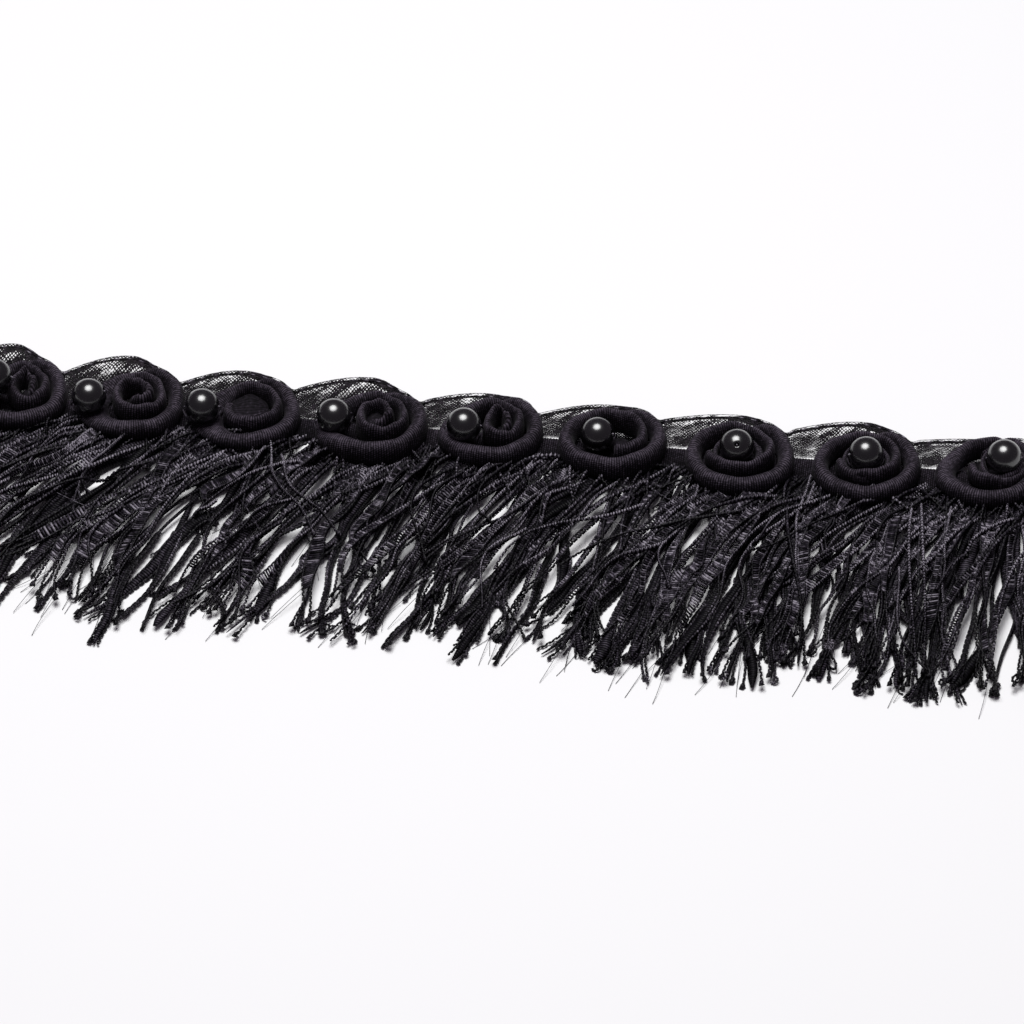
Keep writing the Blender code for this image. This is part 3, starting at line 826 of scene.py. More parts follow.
def yarn_finish():
    """Black filament yarn: painted shade between its stitches, painted glints on some of them."""
    material, tree, shader, tone, fleck = yarn_base("chain_yarn", 0.42)
    shade = blend(tree, (fleck, 0.55), (noise(tree, 190.0), 0.45), (tone, 0.46))
    # The palest stops are painted glints; the slow noise picks where they show
    colour(tree, shader, shade, [
        (0.52, YARN_DARK), (0.74, YARN_MIDDLE), (0.87, (0.054, 0.0455, 0.062)),
        (0.98, (0.25, 0.23, 0.27)),
    ])
    bump(tree, shader, fleck, 0.00005)
    return material


def ladder_band():
    """The yarn of a closed ladder, seen as a band: its rungs are stripes with dark gaps between."""
    material, tree, shader, tone, fleck = yarn_base("ladder_band", 0.5)
    wave = maths(tree, "SINE", maths(tree, "MULTIPLY", cloth_axes(tree)[2], np.pi / RUNG_PITCH))
    rung = maths(tree, "ABSOLUTE", wave)
    shade = blend(tree, (maths(tree, "MULTIPLY", rung, tone), 0.55), (fleck, 0.8))
    colour(tree, shader, shade, [
        (0.52, YARN_DARK), (0.78, YARN_MIDDLE), (0.95, (0.06, 0.051, 0.068))])
    bump(tree, shader, maths(tree, "MULTIPLY_ADD", fleck, 0.5, rung), 0.00012)
    return material


yarn = yarn_finish()

# %% Selvedge and hem of the gauze
SELVEDGE_RADII = np.array([0.07, 0.12])[:, None] * MM
SELVEDGE_TONES = np.array([1.6, 1.0])[:, None]
SELVEDGE_TWIST = 0.5 * MM
HEM_STEPS = 120
# The hem's radius at its valley and at its fullest, the shares of its way at which it thickens and
# thins, over which share it does, and what is left of it at its end
HEM_START = 0.2 * MM
HEM_END = 0.75 * MM
HEM_THICKENS = 0.48
HEM_THINS = 0.75
HEM_FADE = 0.25
HEM_LEFT = 0.35
# The share of the rosette's half width at which it ends, how far it lies in front of the edge and
# below it, and how much lower it sinks into the tube
HEM_REACH = 0.82
HEM_FORWARD = 0.2 * MM
HEM_BELOW = 0.25 * MM
HEM_SINKS = 0.7 * MM


def hem_path(row, start):
    """The rolled hem from the valley left of a rosette, over the crest and into the tube."""
    x = np.linspace(start, (row.x + HEM_REACH * row.half_width) * MM, HEM_STEPS)
    y, z = hem_line(x)
    share = shares(HEM_STEPS)
    radius = smooth_mix((share - HEM_THICKENS) / HEM_FADE)
    radius = HEM_START + (HEM_END - HEM_START) * radius
    radius = radius * smooth_mix((share - HEM_THINS) / HEM_FADE, 1.0, HEM_LEFT)
    z = z - HEM_SINKS * smooth_mix((share - 0.6) / 0.4) - HEM_BELOW
    path = np.stack([x, y - HEM_FORWARD, np.maximum(z, radius)], axis=-1)
    ribs = np.abs(np.sin(np.pi * lengths_along(path) / (RIB * MM)))
    return path, radius * (0.9 + 0.1 * ribs)


selvedges = points[[RIBBON_ROWS - 1, RIBBON_ROWS - 3]] + (0.0, 0.0, 0.04 * MM)
twist = 1 + 0.25 * np.sin(lengths_along(selvedges) * TAU / SELVEDGE_TWIST)
tones = SELVEDGE_TONES * (0.5 + 0.5 * np.sin(np.arange(RIBBON_COLUMNS) * 0.9))
rim = tubes("gauze_selvedge", cords(selvedges, SELVEDGE_RADII * twist, 4), yarn, tone=tones)
dress(rim, "gauze")

starts = [-TAPE_LENGTH / 2] + [valley_after(row) for row in ROSETTES[:-1]]
paths, radii = map(np.array, zip(*[hem_path(*pair) for pair in zip(ROSETTES, starts)]))
hem = tubes("rolled_hem", cords(paths, radii, 10), cloth)
dress(hem, "ribbed_fabric")

# %% [markdown]
# ## Heading tape
#
# The heading is a narrow tape woven with ribs from edge to edge. Its section is a low rounded bar,
# carried along the trim, and its height waves a little at every rib. A dark stitched groove runs
# near its front.

# %% Tape
TAPE_RIB = 0.5
TAPE_RIB_DEPTH = 0.16 * MM
TAPE_SAMPLES = 2
# Out as a share of half the width, up as a share of the thickness
TAPE_SECTION = np.array([
    (-0.9, 0.02), (0.0, 0.02), (0.9, 0.02), (1.0, 0.1), (0.98, 0.4), (0.85, 0.6), (0.6, 0.86),
    (0.2, 1.0), (-0.3, 1.0), (-0.68, 0.93), (-0.8, 0.62), (-0.9, 0.82), (-0.98, 0.6), (-1.0, 0.1),
])
# Only what lies higher than this share has ribs
RIBBED_OVER = 0.3


def tape_rings():
    """The tape's section at each step: a rounded bar whose top rises and falls with the ribs."""
    steps = int(TAPE_LENGTH / MM / TAPE_RIB) * TAPE_SAMPLES
    x = np.linspace(-TAPE_LENGTH / 2, TAPE_LENGTH / 2, steps + 1)[:, None]
    rib = TAPE_RIB_DEPTH * (1 - np.abs(np.sin(np.pi * x / (TAPE_RIB * MM))))
    out, up = TAPE_SECTION.T[:, None]
    z = up * TAPE_THICKNESS - np.where(up > RIBBED_OVER, rib, 0.0)
    return np.stack(np.broadcast_arrays(x, out * TAPE_WIDTH / 2, z), axis=-1)[None]


# The tape's cloth is the ribbed cloth made darker: painted shade of the tape under and between the
# rosettes
tape = tubes("heading_tape", tape_rings(), ribbed_cloth("tape_cloth_painted_shade", 0.5))
dress(tape, "fringe_yarn", "fringe_band")

# %% [markdown]
# ## Fringe
#
# The fringe is yarn of a ladder kind: two chain-stitched cords with fine threads across. It lies in
# locks that lean to one side and end raggedly. Each yarn here follows the sweep of the solid's
# locks, wanders on slow waves and twists, so its ladder shows in some places and closes in others.
# The upper row's cords and rungs are modelled one by one. The lower row shows only between them, so
# it is flat bands with cords at their ends.

# %% Ladder yarns
draw = np.random.default_rng(27)
UPPER_STEPS = 184
LOWER_STEPS = 76
# A row of locks: the phase of its unevenness, how far it is turned, how much shorter it is, which
# of the cells it takes, how much higher it lies in millimetres, and the share that its tips sink
Row = namedtuple("Row", "phase turn shorter cell higher sink")
UPPER = Row(2.1, np.radians(5), 4 * MM, 0, 1.4, 0.65)
LOWER = Row(0.4, 0.0, 0.0, 1, 0.0, 0.3)
LOCK_CELLS = 156
LOCK_UNEVEN = 3.0 * MM
LOCK_SCATTER = (12.9898, 78.233, 43758.5453)
CLUMP_GROWTH = 1.3
CLUMPS = [(0.7, 23), (0.15, 9.1)]
TASSELS = [(0.5, 3.1, 0.0), (0.4, 7.7, 1.0)]
WAVE_TURNS = np.array([1.0, 1.6, 2.0])
WAVE_SIZES = np.array([1.4, 0.5, 0.3]) * MM
CORD_RADIUS = 0.33 * MM
THIN_END = 0.7
ZIGZAG = 0.12 * MM
WRIGGLE = 0.22 * MM
RUNGS_UNTIL = 0.84
# How far roots stay from the cut ends, how much they are shaken in millimetres, and how far under
# the tape's edge they begin
ROOTS_FROM_END = 1.2 * MM
ROOT_SHAKE = 0.6
ROOT_UNDER = 0.5 * MM
# How flat a ladder is pressed, the least height of a cord's middle, and a yarn's least half width
PRESSED = 0.55
LEAST_MIDDLE = 0.45 * MM
LEAST_HALF = 0.2 * MM
# The least and the most that is drawn for each yarn, in millimetres: how much longer than its lock
# it is, how much shorter a short one is, how high it lies and how high it starts, its half width,
# and how far its worn cords part
LONGER = (-4.5, 1.5)
SHORT_BY = (7.0, 26.0)
LEVELS = (0.6, 1.4)
ROOT_LEVELS = (0.5, 1.1)
HALF_WIDTHS = (0.45, 1.15)
WORN_APART = (0.0, 1.4)
# The same for its bow, as a share of its way to the side, the turns of its waves and its wriggles,
# and its twist in half turns
BOWS = (-0.12, 0.3)
WAVES = (0.5, 1.9)
WRIGGLES = (2.5, 5.0)
TWISTS = (-1.3, 1.3)
# The spread of the lean about its lock's in degrees, the most that it may differ, the spread of the
# tips' hooks in millimetres, how many ladders close, and to which share of their width
LEAN_SPREAD = 10.5
LEAN_MOST = 22.0
HOOK_SPREAD = 1.8
CLOSED_SHARE = 0.45
CLOSED_WIDTH = 0.4
# Places along the tape, and there: how closely the yarns are set, how many are short, how far they
# bulge to the left, how many degrees the last ones splay to the right, where the trim is cut, and
# the least and the most that any yarn may lean
CROWDING = [(-96, -50, 35, 70, 96), (1.0, 1.0, 1.0, 1.5, 2.2)]
SHORTNESS = [(-90, 0, 60), (0.32, 0.3, 0.14)]
BULGES = [(-96, 40, 66, 84, 96), (0.0, 0.0, 3.0, 2.5, -1.0)]
SPLAY = [(-96, 78, 96), (0.0, 0.0, -7.0)]
LEAN_LEAST = [(-96, 70, 96), (-40.0, -25.0, -5.0)]
LEAN_CAP = [(-96, -70, 96), (47.0, 60.0, 60.0)]
# Narrow slits where the surface shows between the locks: x, y, lean in degrees, half width and half
# length
SLITS = [
    (-34, -29, 26, 1.3, 5.0), (-69, -34, 43, 0.5, 5.0), (80, -48, 9, 1.0, 4.0),
    (-66, -26, 42, 0.6, 5.0), (-50, -30, 21, 0.6, 4.0), (5, -42, 6, 1.0, 3.0),
    (47, -38, 23, 0.9, 3.0), (-30, -22, 20, 0.6, 4.0), (29, -31, 50, 0.6, 3.5),
    (43, -50, 23, 0.6, 4.0), (-5, -40, 37, 0.7, 3.0), (27, -47, 35, 0.8, 3.0),
    (66, -41, 50, 0.6, 3.0), (15, -22, 20, 0.6, 3.0), (-57, -37, 23, 0.4, 3.0),
    (48, -26, 42, 0.6, 2.5), (12, -36, 25, 0.4, 4.0), (31, -23, 50, 0.4, 4.0),
    (52, -31, 31, 0.5, 2.5), (-32, -42, 24, 0.4, 3.0), (-40, -37, 15, 0.6, 3.0),
    (-59, -44, 26, 0.5, 3.0), (-42, -41, 2, 0.5, 3.0), (-38, -31, 23, 0.5, 4.0),
    (-13, -30, 26, 0.4, 3.0), (-48, -26, 20, 0.4, 3.0), (-79, -40, 35, 0.6, 4.0),
    (36, -26, 35, 0.5, 3.0), (56, -20, 30, 0.5, 3.0), (-26, -26, 24, 0.6, 4.0),
]


def column(count, low, high):
    """A number between low and high for each of count strands, as a column."""
    return draw.uniform(low, high, (count, 1))


def clump(x, phase):
    """How far a lock's tip is drawn sideways, so that tips gather in clumps."""
    return MM * sum(
        size * np.sin(x / MM * TAU / length + number * phase)
        for number, (size, length) in enumerate(CLUMPS, start=1))


def uneven(index, phase):
    """A fixed number between -1 and 1 that jumps about from lock to lock."""
    first, second, third = LOCK_SCATTER
    wave = np.sin(index * first + phase * second) * third
    return 2 * (wave - np.floor(wave)) - 1


def gathered(x):
    """Sideways pull of the tips towards the middles of tassels a few millimetres apart."""
    return sum(
        size * MM * np.sin(x / MM * TAU / length + start) for size, length, start in TASSELS)


def root_places(count):
    """Where yarns leave the tape: even steps of the crowding's running sum, a little shaken."""
    places = np.linspace(ROOTS_FROM_END - TAPE_LENGTH / 2, TAPE_LENGTH / 2 - ROOTS_FROM_END, 400)
    crowd = np.cumsum(np.interp(places / MM, *CROWDING))
    share = (crowd - crowd[0]) / (crowd[-1] - crowd[0])
    x = np.interp(shares(count + 2)[1:-1], share, places)
    return np.clip(x + draw.normal(0.0, ROOT_SHAKE, count) * MM, places[0], places[-1])


def part_slits(lines, half):
    """Push yarns aside where a slit is, so that the whole yarn clears it on its own side.

    The shift is what is missing between the slit's half width plus the yarn's and the yarn's
    distance from the slit's middle, and it fades with exp(-(a / half length)^2), a being the
    distance along it.
    """
    for x, y, lean, half_width, half_length in SLITS:
        sine, cosine = np.sin(np.radians(lean)), np.cos(np.radians(lean))
        down, across = np.array([-sine, -cosine]), np.array([cosine, -sine])
        apart = lines[..., :2] - np.array([x, y]) * MM
        a, c = apart @ down, apart @ across
        nearest = np.take_along_axis(c, np.abs(a).argmin(axis=1)[:, None], axis=1)
        missing = np.clip(half_width * MM + half - np.abs(nearest), 0.0, None)
        fade = np.exp(-(a / (half_length * MM)) ** 2)
        lines[..., :2] += (np.where(nearest < 0, -missing, missing) * fade)[..., None] * across
    return lines


def run_and_lean(x, row):
    """How far down each yarn runs and its lean in radians: its lock's, with its own differences."""
    count = len(x)
    index = np.round((x / TAPE_LENGTH + 0.5) * LOCK_CELLS / 2 - 0.5) * 2 + row.cell
    locks_lean = np.interp(x / MM, *LEANS)
    stray = np.clip(draw.normal(0.0, LEAN_SPREAD, count), -LEAN_MOST, LEAN_MOST)
    lean = locks_lean + (stray + np.interp(x / MM, *SPLAY))
    lean = np.clip(lean, np.interp(x / MM, *LEAN_LEAST), np.interp(x / MM, *LEAN_CAP))
    shorter = np.cos(np.radians(lean)) / np.cos(np.radians(locks_lean))
    reach = np.interp(x / MM, *REACHES) * MM + uneven(index, row.phase) * LOCK_UNEVEN
    run = reach - TAPE_WIDTH / 2 - row.shorter
    short = draw.random(count) < np.interp(x / MM, *SHORTNESS)
    short = np.where(short, draw.uniform(*SHORT_BY, count), 0.0)
    run = (run + (draw.uniform(*LONGER, count) - short) * MM) * np.minimum(shorter, 1.03)
    return run[:, None], (np.radians(lean) + row.turn)[:, None]


def yarn_lines(count, row, steps):
    """The middle lines of one row's yarns, (yarns, steps, 3), and each one's half width and twist.

    A yarn leaves the tape at its root, bows over to the lean and runs to the reach of its lock.
    Slow waves in all three directions are added, which grow from nothing at the root.
    """
    x = root_places(count)
    run, lean = run_and_lean(x, row)
    root, t = x[:, None], shares(steps)[None]
    grow = smooth_mix(t * CLUMP_GROWTH)
    bulge = np.interp(root / MM, *BULGES) * MM * np.sin(np.pi * t)
    middle = root - run * np.tan(lean) * (t + column(count, *BOWS) * np.sin(np.pi * t)) - bulge
    middle = middle + (clump(root, row.phase) + gathered(root)) * grow
    turns = draw.uniform(*WAVES, (count, 1, 3)) * WAVE_TURNS
    starts = draw.uniform(0, TAU, (count, 1, 3))
    strength = draw.uniform(0.3, 1.0, (count, 1, 1))
    waves = np.sin(turns * t[..., None] * TAU + starts) * strength * WAVE_SIZES
    waves[..., 0] += WRIGGLE * np.sin(t * TAU * column(count, *WRIGGLES) + starts[..., 1])
    hook = draw.normal(0.0, HOOK_SPREAD, (count, 1)) * MM * np.clip((t - 0.7) / 0.3, 0.0, 1.0) ** 2
    level = column(count, *LEVELS) + row.higher
    root_level = column(count, *ROOT_LEVELS)
    rise = smooth_mix((t - 0.1) / 0.2)
    sink = smooth_mix((t - 0.72) / 0.28) * row.sink
    line = np.empty((count, steps, 3))
    line[..., 0] = middle + waves[..., 0] * grow + hook
    line[..., 1] = -TAPE_WIDTH / 2 + ROOT_UNDER - run * t + waves[..., 1] * grow
    line[..., 2] = (root_level + (level - root_level) * rise) * (1 - sink) * MM
    line[..., 2] += waves[..., 2] * rise
    twist = column(count, 0, np.pi) + np.pi * column(count, *TWISTS) * t
    half = column(count, *HALF_WIDTHS) * MM * (0.65 + 0.35 * np.sin(turns[..., 0] * t * TAU * 1.3))
    closing = np.where(draw.random((count, 1)) < CLOSED_SHARE, CLOSED_WIDTH, 1.0)
    half = half * smooth_mix(t / 0.2, 0.5) * smooth_mix((t - 0.35) / 0.4, 1.0, closing)
    half = half + LEAST_HALF
    return part_slits(line, half), half, twist


def level_across(paths):
    """The level way across each path at each of its points."""
    return unit(np.cross(unit(np.gradient(paths, axis=1)), (0.0, 0.0, 1.0)))


def sideways(line, half, twist):
    """From a yarn's middle to its edge: half a width across, turned by the twist, pressed level."""
    apart = level_across(line) * (half * np.cos(twist))[..., None]
    apart[..., 2] = PRESSED * half * np.sin(twist)
    return apart


def cord_pairs(line, half, twist):
    """A yarn's two cords, (yarns, 2, steps, 3), half a ladder's width to either side of its middle.

    Near the end, where the rungs are worn away, the cords part again.
    """
    worn = np.clip((shares(line.shape[1]) - RUNGS_UNTIL) / (1 - RUNGS_UNTIL), 0.0, 1.0)
    half = half + column(len(line), *WORN_APART) * MM * worn
    apart = sideways(line, half, twist)
    pair = np.stack([line - apart, line + apart], axis=1)
    pair[..., 2] = np.maximum(pair[..., 2], LEAST_MIDDLE)
    return pair


upper_yarns = cord_pairs(*yarn_lines(146, UPPER, UPPER_STEPS))
lower_lines = yarn_lines(150, LOWER, LOWER_STEPS)
lower_yarns = cord_pairs(*lower_lines)
fine_cords = upper_yarns.reshape(-1, UPPER_STEPS, 3)
print("upper cords:", len(fine_cords), "lower bands:", len(lower_yarns))

# %% Flat bands of the lower row
BAND_THICKNESS = 0.3 * MM
# A band tapers over the last eighteenth of its length
BAND_TAPER = 18


def band_rings(line, half, twist):
    """A flat four-sided section carried along: two edges and a low ridge on each face."""
    edge = sideways(line, half, twist)
    face = BAND_THICKNESS * unit(np.cross(edge, unit(np.gradient(line, axis=1))))
    close = np.sqrt(np.clip(shares(line.shape[1])[::-1] * BAND_TAPER, 0.1, 1.0))
    corners = np.stack([edge, -face, -edge, face], axis=2)
    return above_ground(line[:, :, None] + corners * close[:, None, None])


rings = band_rings(*lower_lines)
tones = column(len(rings), 0.3, 1.0) * np.ones(LOWER_STEPS)
bands = tubes("ladder_bands", rings, ladder_band(), tone=tones)
dress(bands, "fringe_yarn", "fringe_band")

# %% Strays and short cords at the roots
STRAYS = 18
STRAY_STEPS = 120
ROOT_CORDS = 202
ROOT_STEPS = 44
ROOT_EDGE = -2.4
# Empty cells round the map of the heap, and the steps over which a cord on it is evened out
HEAP_MARGIN = 3
EVENED_OVER = 15
# Cords that cross the others, drawn as routes over the fringe in millimetres
ROUTES = [
    [(76, -5.5), (68, -7.5), (61, -10.5), (54.5, -17.5), (49, -21), (45.5, -23.5)],
    [(43.5, -14), (37.5, -15.5), (32, -18), (26.5, -21.5), (19, -24), (14, -30)],
    [(48.5, -9), (42, -11), (38.5, -14), (35, -16.5), (31, -21.5)],
    [(72, -8), (72.5, -19.5), (74, -31.5), (75.5, -41), (76.5, -49)],
    [(73.5, -8), (75, -19), (76, -31), (77.5, -41), (77.5, -48)],
    [(51, -12), (53, -24), (55, -32), (56, -44)],
    [(26, -14.5), (19.5, -18.5), (13, -20), (6.5, -25), (3, -32)],
    [(-33, -10.5), (-39, -13), (-45, -18), (-49.5, -24.5)],
    [(-58.5, -13.5), (-65, -17), (-71.5, -19.5), (-78, -25), (-82.5, -32.5)],
    [(89.5, -10.5), (84, -15), (80.5, -21.5), (78, -29)],
    [(94, -8), (88, -16), (84, -26), (83, -38), (81, -47)],
    [(95, -14), (90, -24), (89, -36), (88, -50)],
]


def heap_top(below, x, y):
    """Height of the heap at x, y: the highest cord middle in a patch three millimetres square."""
    flat = below[..., :2].reshape(-1, 2) / MM
    corner = np.floor(flat.min(axis=0)).astype(int) - HEAP_MARGIN
    cells = np.round(flat).astype(int) - corner
    top = np.zeros(cells.max(axis=0) + 2 * HEAP_MARGIN)
    np.maximum.at(top, tuple(cells.T), below[..., 2].ravel())
    for axis in (0, 1):
        top = np.max([np.roll(top, way, axis=axis) for way in (-1, 0, 1)], axis=0)
    spot = np.round(np.stack([x, y]) / MM).astype(int) - corner[:, None, None]
    return top[tuple(np.clip(spot, 0, np.array(top.shape)[:, None, None] - 1))]


def laid_on(below, paths):
    """Rest cords on those below them, evened out along each cord by a running mean."""
    height = heap_top(below, paths[..., 0], paths[..., 1])
    padded = np.pad(height, ((0, 0), (EVENED_OVER // 2, EVENED_OVER // 2)), mode="edge")
    windows = np.lib.stride_tricks.sliding_window_view(padded, EVENED_OVER, axis=1)
    paths[..., 2] = windows.mean(axis=-1) + 1.1 * CORD_RADIUS
    return paths


def walked(x, y, heading, step):
    """Paths from x, y: the running sum of steps down the heading, which is an angle to the left."""
    across, down = (np.cumsum(way(heading), axis=1) * step for way in (np.sin, np.cos))
    return np.stack([x - across, y - down, np.zeros(heading.shape)], axis=-1)


def stray_paths(count):
    """Single cords that lie over the others at odd angles: slow arcs from spots on the fringe."""
    x, y = column(count, -82.0, 92.0), column(count, -26.0, -4.5)
    lean = np.interp(x, *LEANS) + column(count, 8.0, 40.0)
    lean = lean * np.where(draw.random((count, 1)) < 0.8, 1.0, -0.4)
    bend = np.radians(draw.normal(-45.0, 25.0, (count, 1)))
    t = shares(STRAY_STEPS)[None]
    sway = 0.25 * np.sin(t * TAU * column(count, 0.6, 1.5))
    heading = np.radians(lean) + bend * t + sway
    return walked(x, y, heading, column(count, 13.0, 30.0) / STRAY_STEPS) * MM


def routed_path(points):
    """A cord along given points: x and y are cubics in the distance along, fitted to them."""
    points = np.array(points, dtype=float) * MM
    along = lengths_along(points)
    path = np.zeros((STRAY_STEPS, 3))
    spots = np.linspace(0.0, along[-1], STRAY_STEPS)
    path[:, :2] = np.vander(spots, 4) @ np.polyfit(along, points, 3)
    return path


def root_paths(count):
    """Short cords near the tape that fill the roots: each leaves its edge at its own angle."""
    x = root_places(count)[:, None] / MM
    lean = np.interp(x, *LEANS) + draw.normal(8.0, 24.0, (count, 1))
    bend = np.radians(draw.normal(-15.0, 30.0, (count, 1)))
    t = shares(ROOT_STEPS)[None]
    step = column(count, 7.0, 18.0) / ROOT_STEPS
    paths = walked(x, ROOT_EDGE, np.radians(lean) + bend * t, step)
    paths[..., 2] = 0.9 + column(count, 0.2, 1.9) * np.sin(np.pi * np.minimum(t * 1.2, 1.0))
    return paths * MM


root_cords = root_paths(ROOT_CORDS)
routed = np.array([routed_path(points) for points in ROUTES])
stray_cords = laid_on(fine_cords, np.concatenate([stray_paths(STRAYS), routed]))

# %% Skin the cords
# How many cords end in a knot, how much thicker it is, where it lies before the end, and its reach
KNOTTED_SHARE = 0.75
KNOT_SIZES = (0.6, 2.0)
KNOT_AT, KNOT_REACH = 0.6 * MM, 0.5 * MM
TIP_LENGTH = 0.35 * MM


def stitch_highlights(steps):
    """One and nought in turn: painted highlight on stitch tops and painted shade in the dips."""
    return 0.5 + 0.5 * np.cos(np.pi * np.arange(steps))


def chain_radii(paths, knob):
    """Radius along a chain-stitched cord: it swells at each stitch, and some end in a knot."""
    along = lengths_along(paths)
    swell = 1 + 0.32 * np.cos(np.pi * np.arange(paths.shape[1]))
    left = along[:, -1:] - along
    knot = 1 + knob[:, None] * np.exp(-((left - KNOT_AT) / KNOT_REACH) ** 2)
    tip = np.sqrt(np.clip(left / TIP_LENGTH, 0.05, 1.0))
    thin = smooth_mix((along / along[:, -1:] - 0.3) / 0.35, 1.0, THIN_END)
    return CORD_RADIUS * swell * knot * tip * thin


def zigzag(paths):
    """Set a chain's stitches to either side in turn: two points to a stitch, four to a zigzag."""
    swing = np.sin(np.pi / 2 * np.arange(paths.shape[1]))[None, :, None]
    return paths + level_across(paths) * swing * ZIGZAG


def fringe_piece(name, paths, bright=1.0):
    """Skin a batch of cords with their stitches, knots and tones, which hold painted highlights."""
    count, steps, _ = paths.shape
    knob = np.where(draw.random(count) < KNOTTED_SHARE, draw.uniform(*KNOT_SIZES, count), 0.0)
    # Random cord tones times painted stitch highlights, painted lighter at roots than at tips
    tone = bright * column(count, 0.35, 1.05) * stitch_highlights(steps) * np.linspace(1.4, 0.8, steps)
    rings = cords(zigzag(paths), chain_radii(paths, knob), 3, np.pi / 2)
    dress(tubes(name, rings, yarn, tone=tone), "fringe_yarn", "fringe_band")


for batch, half in enumerate(np.split(fine_cords, 2), start=1):
    fringe_piece(f"chain_cords_{batch}", half)
fringe_piece("stray_cords", stray_cords)
fringe_piece("root_cords", root_cords, 0.85)

# %% Ends of the lower row
# The step along the flat bands from which they have cords
END_FROM = 40


def finer(paths, steps):
    """The same paths with more points: straight steps between the old ones."""
    last = paths.shape[1] - 1
    spots = shares(steps) * last
    low = np.minimum(spots.astype(int), last - 1)
    share = (spots - low)[None, :, None]
    return paths[:, low] * (1 - share) + paths[:, low + 1] * share


ends = lower_yarns[:, :, END_FROM:].reshape(-1, LOWER_STEPS - END_FROM, 3)
end_cords = finer(ends, 2 * ends.shape[1])
fringe_piece("end_cords", end_cords, 0.8)

# %% Loops and curls at the tips
CURLS = 190
CURL_STEPS = 16
LOOP_STEPS = 14
CURL_CORD = 0.24 * MM
LOOPED_SHARE = 0.6
WIDEST_LOOP = 1.8 * MM


def tip_loops(pairs):
    """The loop that joins a yarn's two cords at its end: half a sine wave ahead of the way over."""
    width = np.linalg.norm(pairs[:, 0, -3] - pairs[:, 1, -3], axis=-1)
    chosen = pairs[(draw.random(len(pairs)) < LOOPED_SHARE) & (width < WIDEST_LOOP)]
    first, last = chosen[:, 0, -3, None], chosen[:, 1, -3, None]
    middle = chosen.mean(axis=1)
    ahead = unit(middle[:, -1] - middle[:, -8]) * (1.0, 1.0, 0.3)
    t = shares(LOOP_STEPS)[:, None]
    size = draw.uniform(0.6, 1.5, (len(chosen), 1, 1)) * MM
    return first * (1 - t) + last * t + ahead[:, None] * size * np.sin(np.pi * t)


def tip_curls(count):
    """Small curls of broken yarn about the tips: circles that open out, lying nearly level."""
    tips = np.concatenate([fine_cords[:, -10:].reshape(-1, 3), end_cords[:, -8:].reshape(-1, 3)])
    spot = tips[draw.integers(0, len(tips), count)][:, None]
    t = shares(CURL_STEPS)[None]
    angle = column(count, 0, TAU) + t * TAU * column(count, 0.5, 1.15)
    radius = column(count, 0.35, 0.85) * (0.6 + 0.6 * t)
    rise = 0.5 * radius * np.sin(angle + 1.0)
    return spot + np.stack([np.cos(angle) * radius, np.sin(angle) * radius, rise], axis=-1) * MM


curls = tip_curls(CURLS)
curls = np.concatenate([curls, finer(tip_loops(upper_yarns), CURL_STEPS)])
swell = 1 + 0.3 * np.cos(np.pi * np.arange(CURL_STEPS))
radii = CURL_CORD * swell * column(len(curls), 0.7, 1.25)
tones = column(len(curls), 0.2, 1.0) * stitch_highlights(CURL_STEPS)
dress(tubes("tip_curls", cords(curls, radii, 3), yarn, tone=tones), "fringe_yarn")

# %% Rungs of the ladder yarn
RUNG_RADIUS = 0.215 * MM
RUNG_SHARE = 0.8
NARROWEST_RUNG, WIDEST_RUNG = 0.7 * MM, 3.4 * MM


def rungs(pairs):
    """Fine threads between a yarn's two cords, one at each stitch, slanting to and fro."""
    chosen = pairs[draw.random(len(pairs)) < RUNG_SHARE]
    last = int(chosen.shape[2] * RUNGS_UNTIL) // 2 * 2
    left, right = chosen[:, 0, 4:last:2], chosen[:, 1, 5:last + 1:2]
    ends = np.stack([left, right], axis=2).reshape(-1, 2, 3)
    width = np.linalg.norm(ends[:, 0] - ends[:, 1], axis=-1)
    return cords(ends[(width > NARROWEST_RUNG) & (width < WIDEST_RUNG)], RUNG_RADIUS, 3)


threads = rungs(upper_yarns)
tones = draw.uniform(0.25, 1.05, len(threads))
dress(tubes("ladder_threads", threads, yarn, tone=tones), "fringe_yarn")

# %% Sewing threads of the beads
THREAD_RADIUS = 0.11 * MM
THREAD_STEPS = 14
THREAD_END = 1.6 * MM


def bead_threads():
    """At both ends of each hole a thread bends over the bead's side and ends under the cloth."""
    t = shares(THREAD_STEPS)[:, None]
    out = PEARL_RADIUS * (0.8 + 0.32 * np.sin(np.pi * np.minimum(t * 1.1, 1.0)))
    return np.array([
        centre + way * axis * out + np.array([0.0, -0.5 * MM, THREAD_END - centre[2]]) * t ** 2.2
        for centre, axis in zip(centres, HOLE_AXES) for way in (1, -1)])


paths = bead_threads()
tones = 0.9 + 0.5 * np.sin(np.arange(THREAD_STEPS)) * np.ones((len(paths), 1))
dress(tubes("bead_threads", cords(paths, THREAD_RADIUS, 6), yarn, tone=tones), "pearl")

# %% [markdown]
# ## Loose hairs
#
# Single filaments work loose from the ends of such yarn. They are nearly straight, as thick as a
# hair, and stick out past the tips and across the locks.

# %% Hairs
HAIRS = 240
PALE_HAIRS = 9
HAIR_STEPS = 8
HAIR_RADIUS = 0.05 * MM
LEAST_HAIR_HEIGHT = 0.12 * MM
# The steps along the cords between which hairs begin
HAIR_SPAN, PALE_HAIR_SPAN = (140, UPPER_STEPS - 2), (30, 120)


def hair_roots(count, span):
    """Spots on the cords where hairs begin, within a span of the steps along them."""
    cord = draw.integers(0, len(fine_cords), count)
    return fine_cords[cord, draw.integers(*span, count)]


def hair_paths(count):
    """Thin, nearly straight lines that go on past the ends of cords, each turned a little off."""
    start = hair_roots(count, HAIR_SPAN)
    lean = np.interp(start[:, 0] / MM, *LEANS)
    heading = np.radians(draw.normal(-90.0, 14.0, count) - 0.8 * lean)
    return start, heading, draw.uniform(3.0, 13.0, count) * MM


